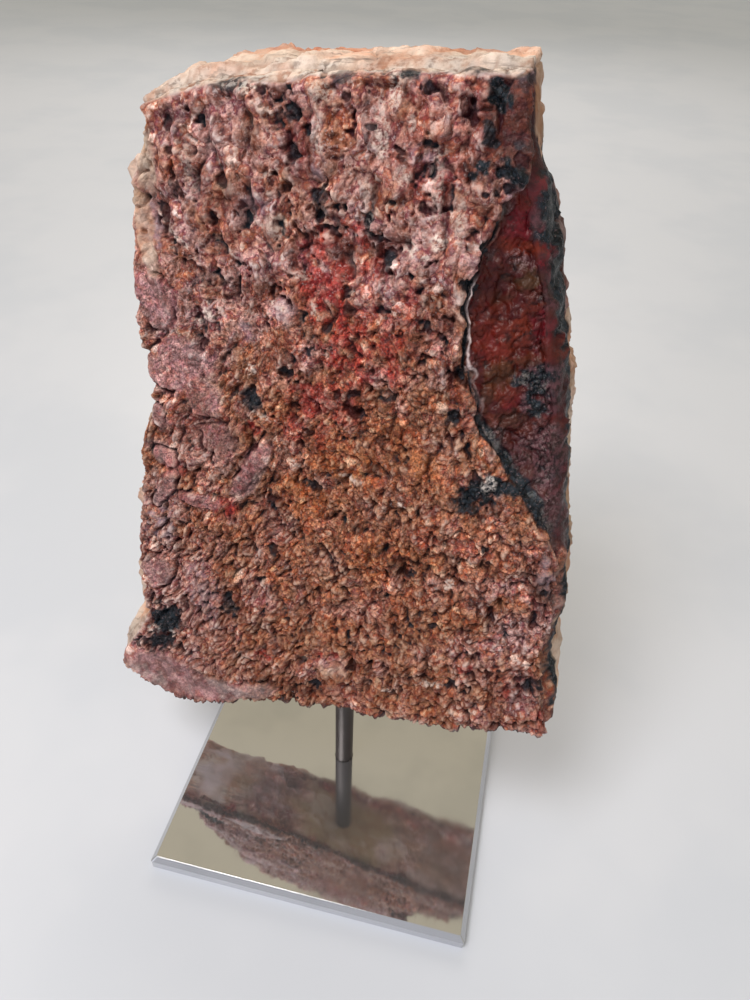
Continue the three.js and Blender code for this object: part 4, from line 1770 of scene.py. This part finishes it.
    @staticmethod
    def _zones(c: Clues) -> dict[str, Array]:
        """Where the stone is bare, smooth-skinned, broken rock, plum rock, and in painted shade.

        Args:
            c: The points' clues.

        Returns:
            The shares by name.
        """
        p = c.places
        high = 9 + (15 * ease(80, 100, c.tall) + 18 * ease(185, 220, c.tall)) * ease(284, 270, c.tall)
        skirt = 4 + high * ease(0.1, 0.5, c.normals[:, 0])
        side = (1 - c.front) * ease(0.0, 3.0, c.behind - skirt + c.wander[:, 1] * 7 + c.fleck[:, 0] * 3)
        pale_end = ease(-70, -92, p[:, 0] + c.wander[:, 0] * 12)
        rock = np.maximum.reduce([side, c.top_rock, most(CHIPS, p, c.ragged)])
        rock = c.either(np.clip(rock - c.dirty * (0.9 - pale_end), 0, 1))
        # Painted shade: the SHADES spots, the upper right side, and the stained underside.
        shade = np.maximum(most(SHADES, p, c.ragged), c.right * ease(190, 230, c.tall) * 0.8)
        shade = np.maximum(shade, c.dirty * (0.15 + 0.3 * c.wander[:, 2]))
        return {
            "bare": c.bare, "skin": np.maximum(most(SKINS, p), most(PLATES, p) * 0.85), "rock": rock,
            "plum_rock": most(PATCH_PLUMS, p, c.ragged), "shade": c.either(shade),
        }


def plain_stone(shape: StoneShape, name: str, cuts: int) -> Piece:
    """Copies the frame's stone, merges it, cuts its faces small and rounds them off.

    Args:
        shape: The stone's shape.
        name: The copy's name.
        cuts: How many cuts each edge gets.

    Returns:
        The copy, with its normals stored on its points.
    """
    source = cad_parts["stone"]
    copy = bpy.data.objects.new(name, source.data.copy())
    copy.matrix_world = source.matrix_world
    bpy.context.collection.objects.link(copy)
    mesh = copy.data
    with editing(copy, Element.FACE, np.ones(len(mesh.polygons), bool)):
        bpy.ops.mesh.remove_doubles(threshold=MERGE)
        bpy.ops.mesh.subdivide(number_cuts=cuts)
    apply_place(copy)
    places = read_rows(mesh.vertices, "co")
    near_rod = np.hypot(places[:, 0], places[:, 1]) < shape.rod_clear * MM
    near_rod &= places[:, 2] < (shape.axes.foot + shape.rod_length) * MM
    with editing(copy, Element.POINT, ~near_rod):
        bpy.ops.mesh.vertices_smooth(factor=0.5, repeat=3 * cuts - 4)
    layer = mesh.attributes.new(REST, "FLOAT_VECTOR", "POINT")
    layer.data.foreach_set("vector", read_rows(mesh.vertex_normals, "vector").astype(np.float32).ravel())
    return copy


@dataclass
class StoneSlab:
    """The slab's body: the broken pale rock of its sides, back, top and underside; depths in millimetres."""

    shape: StoneShape
    cuts: int = 4
    sunk: float = 10.0
    rim_sunk: float = 3.0
    sway: float = 0.5

    def build(self) -> Piece:
        """Makes the slab's body, its front sunk under the crust.

        Returns:
            The body.
        """
        slab = plain_stone(self.shape, "stone_slab", self.cuts)
        surface = self.shape.surface(slab.data)
        relief = self.shape.rock(surface)
        front = surface.facing(1, -1)
        under_crust = ease(0.85, 0.98, -surface.normals[:, 1])
        rim = ease(14, 5, surface.places[:, 1] + self.shape.face_ahead)
        relief.height = relief.height * (1 - np.maximum(front, rim)) - self.rim_sunk * rim * (1 - under_crust)
        relief.height -= self.sunk * under_crust
        write_places(slab.data, self.shape.move(surface, relief, self.sway))
        self.shape.store(slab.data, surface, relief)
        slab.data.attributes.remove(slab.data.attributes[REST])
        take(slab)
        bpy.ops.object.shade_smooth()
        return slab


@dataclass(frozen=True)
class CrustBand:
    """One band of the front's crust, between two heights in the stone's own millimetres."""

    name: str
    low: float
    high: float


CRUST_BANDS = (
    CrustBand("crust_crown", 248, 400),
    CrustBand("crust_upper", 180, 248),
    CrustBand("crust_middle", 112, 180),
    CrustBand("crust_lower", 44, 112),
    CrustBand("crust_foot", -90, 44),
)


@dataclass
class Crust:
    """The front's grown crust, in bands that meet along ragged lines; depths are in millimetres."""

    shape: StoneShape
    cuts: int = 3
    fine_cuts: int = 4
    draw_in: float = 0.93
    edge_depth: float = 5.0
    rim_drop: float = 1.6
    backing: float = 12.0
    tuck: float = 5.0
    sway: float = 0.4

    def build(self) -> list[Piece]:
        """Makes the crust; its relief is worked out for all the bands at once, so that they meet.

        Returns:
            One closed object for each band.
        """
        plain = plain_stone(self.shape, "plain_front", self.cuts)
        bands = [self._cut_out(plain, band) for band in CRUST_BANDS]
        bpy.data.objects.remove(plain)
        parts = [self.shape.surface(band.data) for band in bands]
        names = ("places", "normals", "rod_gap")
        whole = Surface(*(np.concatenate([getattr(part, name) for part in parts]) for name in names))
        relief = self.shape.crust(whole)
        relief.height *= 1 - 0.8 * ease(0.02, 0.45, whole.normals[:, 2])
        rim = ease(1.0, self.edge_depth + 2, whole.places[:, 1] + self.shape.face_ahead)
        relief.height -= self.rim_drop * rim * (1 - whole.facing(1, -1))
        moved = self.shape.move(whole, relief, self.sway)
        start = 0
        for band, part in zip(bands, parts):
            own = slice(start, start + len(part.places))
            start = own.stop
            write_places(band.data, moved[own])
            share = Relief(relief.height[own], relief.hollow[own], relief.crest[own], relief.tags[own])
            self.shape.store(band.data, part, share)
            self._close(band)
            band.data.attributes.remove(band.data.attributes[REST])
        return bands

    def _cut_out(self, plain: Piece, band: CrustBand) -> Piece:
        """Cuts one band's faces out of a copy of the plain stone.

        Args:
            plain: The plain stone.
            band: The band.

        Returns:
            The band, open at its edges.
        """
        piece = plain.copy()
        piece.data = plain.data.copy()
        piece.name = band.name
        bpy.context.collection.objects.link(piece)
        centres = self.shape.axes.to_own(read_rows(piece.data.polygons, "center"))
        backwards = (read_rows(piece.data.polygon_normals, "vector") @ self.shape.axes.turn())[:, 1]
        wander = rolling(centres, 14.0, 95)
        behind = centres[:, 1] + self.shape.face_ahead
        outer = (backwards > -0.5) & (behind > self.edge_depth + wander[:, 0] * 2.5)
        height = centres[:, 2] + wander[:, 1] * 5
        spare = outer | (height < band.low) | (height >= band.high) | (backwards > 0.3)
        with editing(piece, Element.FACE, spare):
            bpy.ops.mesh.delete(type="FACE")
            bpy.ops.mesh.select_all(action="SELECT")
            bpy.ops.mesh.subdivide(number_cuts=self.fine_cuts)
        return piece

    def _close(self, band: Piece) -> None:
        """Turns a band's open edge straight down into the stone and closes it there.

        Args:
            band: The band.
        """
        take(band)
        bpy.ops.object.shade_smooth()
        with editing(band, Element.EDGE, np.zeros(len(band.data.edges), bool)):
            bpy.ops.mesh.select_non_manifold()
            bpy.ops.mesh.mark_sharp()
            bpy.ops.mesh.extrude_edges_move(TRANSFORM_OT_translate={"value": (0, 0, 0)})
        self._tuck(band.data)
        middle = read_rows(band.data.vertices, "co").mean(axis=0)
        inwards = Vector(self.shape.axes.turn() @ np.array([0, self.backing * MM, 0]))
        with editing(band, Element.EDGE):
            bpy.ops.mesh.extrude_edges_move(TRANSFORM_OT_translate={"value": inwards})
            bpy.ops.transform.resize(value=(self.draw_in,) * 3, center_override=tuple(middle))
            bpy.ops.mesh.extrude_edges_move(TRANSFORM_OT_translate={"value": inwards})
            bpy.ops.mesh.merge(type="CENTER")

    def _tuck(self, mesh: Mesh) -> None:
        """Moves the chosen points down into the stone.

        Args:
            mesh: The band's mesh, with its edge's new points selected.
        """
        fresh = np.empty(len(mesh.vertices), bool)
        mesh.vertices.foreach_get("select", fresh)
        places = read_rows(mesh.vertices, "co")
        places[fresh] -= read_rows(mesh.attributes[REST].data, "vector")[fresh] * self.tuck * MM
        write_places(mesh, places)


# ---- stand


@dataclass
class BasePlate:
    """The square, mirror-polished plate, bevelled round the top, with the rod's socket; in metres."""

    side: float = 0.2
    bevel: float = 0.003
    arris: float = 0.00012
    corner_radius: float = 0.0012
    socket_radius: float = 0.0062
    socket_floor: float = 0.004
    socket_sides: int = 64
    level: float = 0.000001

    def build(self) -> Piece:
        """Models the plate.

        Returns:
            The plate.
        """
        low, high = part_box("base_plate")
        deselect_all()
        middle = (low + high) / 2
        bpy.ops.mesh.primitive_cube_add(size=1.0, location=middle)
        plate = bpy.context.object
        plate.name = "polished_plate"
        plate.scale = high - low
        apply_place(plate)
        self._bevel_top(plate, high.z)
        self._round_corners(plate)
        self._sink_socket(plate, high.z)
        apply_bevel(plate, self.arris, 3, 25)
        bpy.ops.object.shade_smooth_by_angle(angle=math.radians(24))
        even = plate.modifiers.new("flat faces", "WEIGHTED_NORMAL")
        even.keep_sharp = True
        even.weight = 100
        bpy.ops.object.modifier_apply(modifier=even.name)
        return plate

    @staticmethod
    def _edge_ends(plate: Piece) -> Array:
        """Finds where the plate's edges end.

        Args:
            plate: The plate.

        Returns:
            Both ends of each edge, N by 2 by 3.
        """
        mesh = plate.data
        ends = np.empty(len(mesh.edges) * 2, np.int32)
        mesh.edges.foreach_get("vertices", ends)
        return read_rows(mesh.vertices, "co")[ends.reshape(-1, 2)]

    def _bevel_top(self, plate: Piece, top: float) -> None:
        """Cuts the flat bevel round the top.

        Args:
            plate: The plate.
            top: The height of its top.
        """
        ends = self._edge_ends(plate)
        with editing(plate, Element.EDGE, (ends[:, :, 2] > top - self.level).all(axis=1)):
            bpy.ops.mesh.bevel(offset=self.bevel, segments=1)

    def _round_corners(self, plate: Piece) -> None:
        """Rounds the four corners a little, seen from above.

        Args:
            plate: The plate.
        """
        ends = self._edge_ends(plate)
        rising = np.abs(ends[:, 0, 2] - ends[:, 1, 2]) > self.level
        at_corner = (np.abs(ends[:, :, :2]) > self.side / 2 - self.bevel * 1.1).all(axis=(1, 2))
        with editing(plate, Element.EDGE, rising & at_corner):
            bpy.ops.mesh.bevel(offset=self.corner_radius, segments=3)

    def _sink_socket(self, plate: Piece, top: float) -> None:
        """Sinks the blind hole that takes the rod.

        Args:
            plate: The plate.
            top: The height of its top.
        """
        deselect_all()
        bpy.ops.mesh.primitive_cylinder_add(
            vertices=self.socket_sides, radius=self.socket_radius, depth=(top - self.socket_floor) * 2,
            location=(0, 0, top),
        )
        drill = bpy.context.object
        cut = plate.modifiers.new("socket", "BOOLEAN")
        cut.operation = "DIFFERENCE"
        cut.object = drill
        take(plate)
        bpy.ops.object.modifier_apply(modifier=cut.name)
        bpy.data.objects.remove(drill)


@dataclass
class Rod:
    """The plain round rod, chamfered at both ends; in metres."""

    radius: float = 0.006
    chamfer: float = 0.0008
    sides: int = 64

    def build(self) -> Piece:
        """Models the rod.

        Returns:
            The rod.
        """
        low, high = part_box("rod")
        deselect_all()
        middle = (low.z + high.z) / 2
        bpy.ops.mesh.primitive_cylinder_add(
            vertices=self.sides, radius=self.radius, depth=high.z - low.z, location=(0, 0, middle)
        )
        rod = bpy.context.object
        rod.name = "satin_rod"
        apply_place(rod)
        apply_bevel(rod, self.chamfer, 2, 60)
        bpy.ops.object.shade_smooth_by_angle(angle=math.radians(35))
        return rod


# ---- studio


@dataclass(frozen=True)
class SoftLight:
    """One large soft light, aimed at the stone."""

    name: str
    place: Triple
    wide: float
    tall: float
    power: float
    tint: Colour


@dataclass
class Studio:
    """The pale floor, the soft lights, the even surroundings and the camera."""

    camera_place: Triple = (0.0682, -0.2727, 0.4963)
    camera_right: Triple = (0.9736, 0.2254, 0.0349)
    camera_down: Triple = (0.1742, -0.6364, -0.7514)
    lens: float = 27.04
    sensor_width: float = 36.0
    floor_side: float = 16.0
    aim: Triple = (0.0, 0.0, 0.2)
    lights: tuple[SoftLight, ...] = (
        SoftLight("overhead", (-0.35, -0.5, 1.45), wide=0.5, tall=0.5, power=14.0, tint=colour("FFFBF6")),
        SoftLight("window", (-1.2, -1.5, 1.3), wide=1.2, tall=1.2, power=4.0, tint=colour("EEF2FF")),
        SoftLight("behind", (-0.5, 2.1, 1.5), wide=1.6, tall=1.0, power=20.0, tint=colour("FFF6EC")),
    )
    horizon: Colour = colour("D2D6D4")
    ceiling: Colour = colour("F6EACA")
    front_glow: Colour = colour("F2F4FA")
    glow_strength: float = 0.7

    def build(self, effects: Effects) -> None:
        """Sets the whole studio.

        Args:
            effects: The shared node groups.
        """
        self._floor(effects)
        for light in self.lights:
            self._light(light)
        self._surroundings()
        self._camera()

    def _floor(self, effects: Effects) -> None:
        """Lays the pale floor.

        Args:
            effects: The shared node groups.
        """
        deselect_all()
        bpy.ops.mesh.primitive_plane_add(size=self.floor_side, location=(0, 0, 0))
        floor = bpy.context.object
        floor.name = "floor"
        floor.data.materials.append(FloorFinish().material(effects))

    def _light(self, light: SoftLight) -> None:
        """Hangs one soft light.

        Args:
            light: The light.
        """
        data = bpy.data.lights.new(light.name, "AREA")
        data.shape = "RECTANGLE"
        data.size, data.size_y = light.wide, light.tall
        data.energy = light.power
        data.color = light.tint[:3]
        lamp = bpy.data.objects.new(light.name, data)
        lamp.location = light.place
        lamp.rotation_euler = (Vector(self.aim) - Vector(light.place)).to_track_quat("-Z", "Y").to_euler()
        bpy.context.collection.objects.link(lamp)

    def _surroundings(self) -> None:
        """Makes the even glow around: warm above the back, cool and brighter in front."""
        world = bpy.data.worlds.new("Surroundings")
        bpy.context.scene.world = world
        world.use_nodes = True
        nodes = Nodes(world.node_tree)
        glow = next(n for n in world.node_tree.nodes if n.type == "BACKGROUND")
        way = nodes.add("ShaderNodeTexCoord").outputs["Generated"]
        split = nodes.add("ShaderNodeSeparateXYZ", {0: way})
        up = nodes.mix(nodes.range(split.outputs["Z"], 0.05, 0.6), self.horizon, self.ceiling)
        ahead = nodes.range(split.outputs["Y"], 0.1, -0.7)
        nodes.feed(glow.inputs["Color"], nodes.mix(ahead, up, self.front_glow))
        glow.inputs["Strength"].default_value = self.glow_strength

    def _camera(self) -> None:
        """Places the camera high at the front, looking down at the stone."""
        data = bpy.data.cameras.new("camera")
        data.lens = self.lens
        data.sensor_width = self.sensor_width
        camera = bpy.data.objects.new("camera", data)
        right, down = Vector(self.camera_right), Vector(self.camera_down)
        back = right.cross(-down)
        turned = Matrix((right, -down, back)).transposed().to_4x4()
        camera.matrix_world = Matrix.Translation(self.camera_place) @ turned
        bpy.context.collection.objects.link(camera)
        bpy.context.scene.camera = camera
        bpy.context.scene.view_settings.view_transform = "Standard"


# ---- main


def main() -> None:
    """Builds the display stone and its studio."""
    logging.basicConfig(level=logging.INFO, format="%(name)s: %(message)s")
    effects = Effects()
    crusted = CrustFinish().material(effects)
    shape = StoneShape()
    settle(StoneSlab(shape).build(), crusted, "crusted_stone", "stone")
    for band in Crust(shape).build():
        settle(band, crusted, "crusted_stone")
    settle(BasePlate().build(), POLISHED.material(effects), "polished_steel", "base_plate")
    settle(Rod().build(), SATIN.material(effects), "satin_steel", "rod")
    Studio().build(effects)


if __name__ == "__main__":
    main()
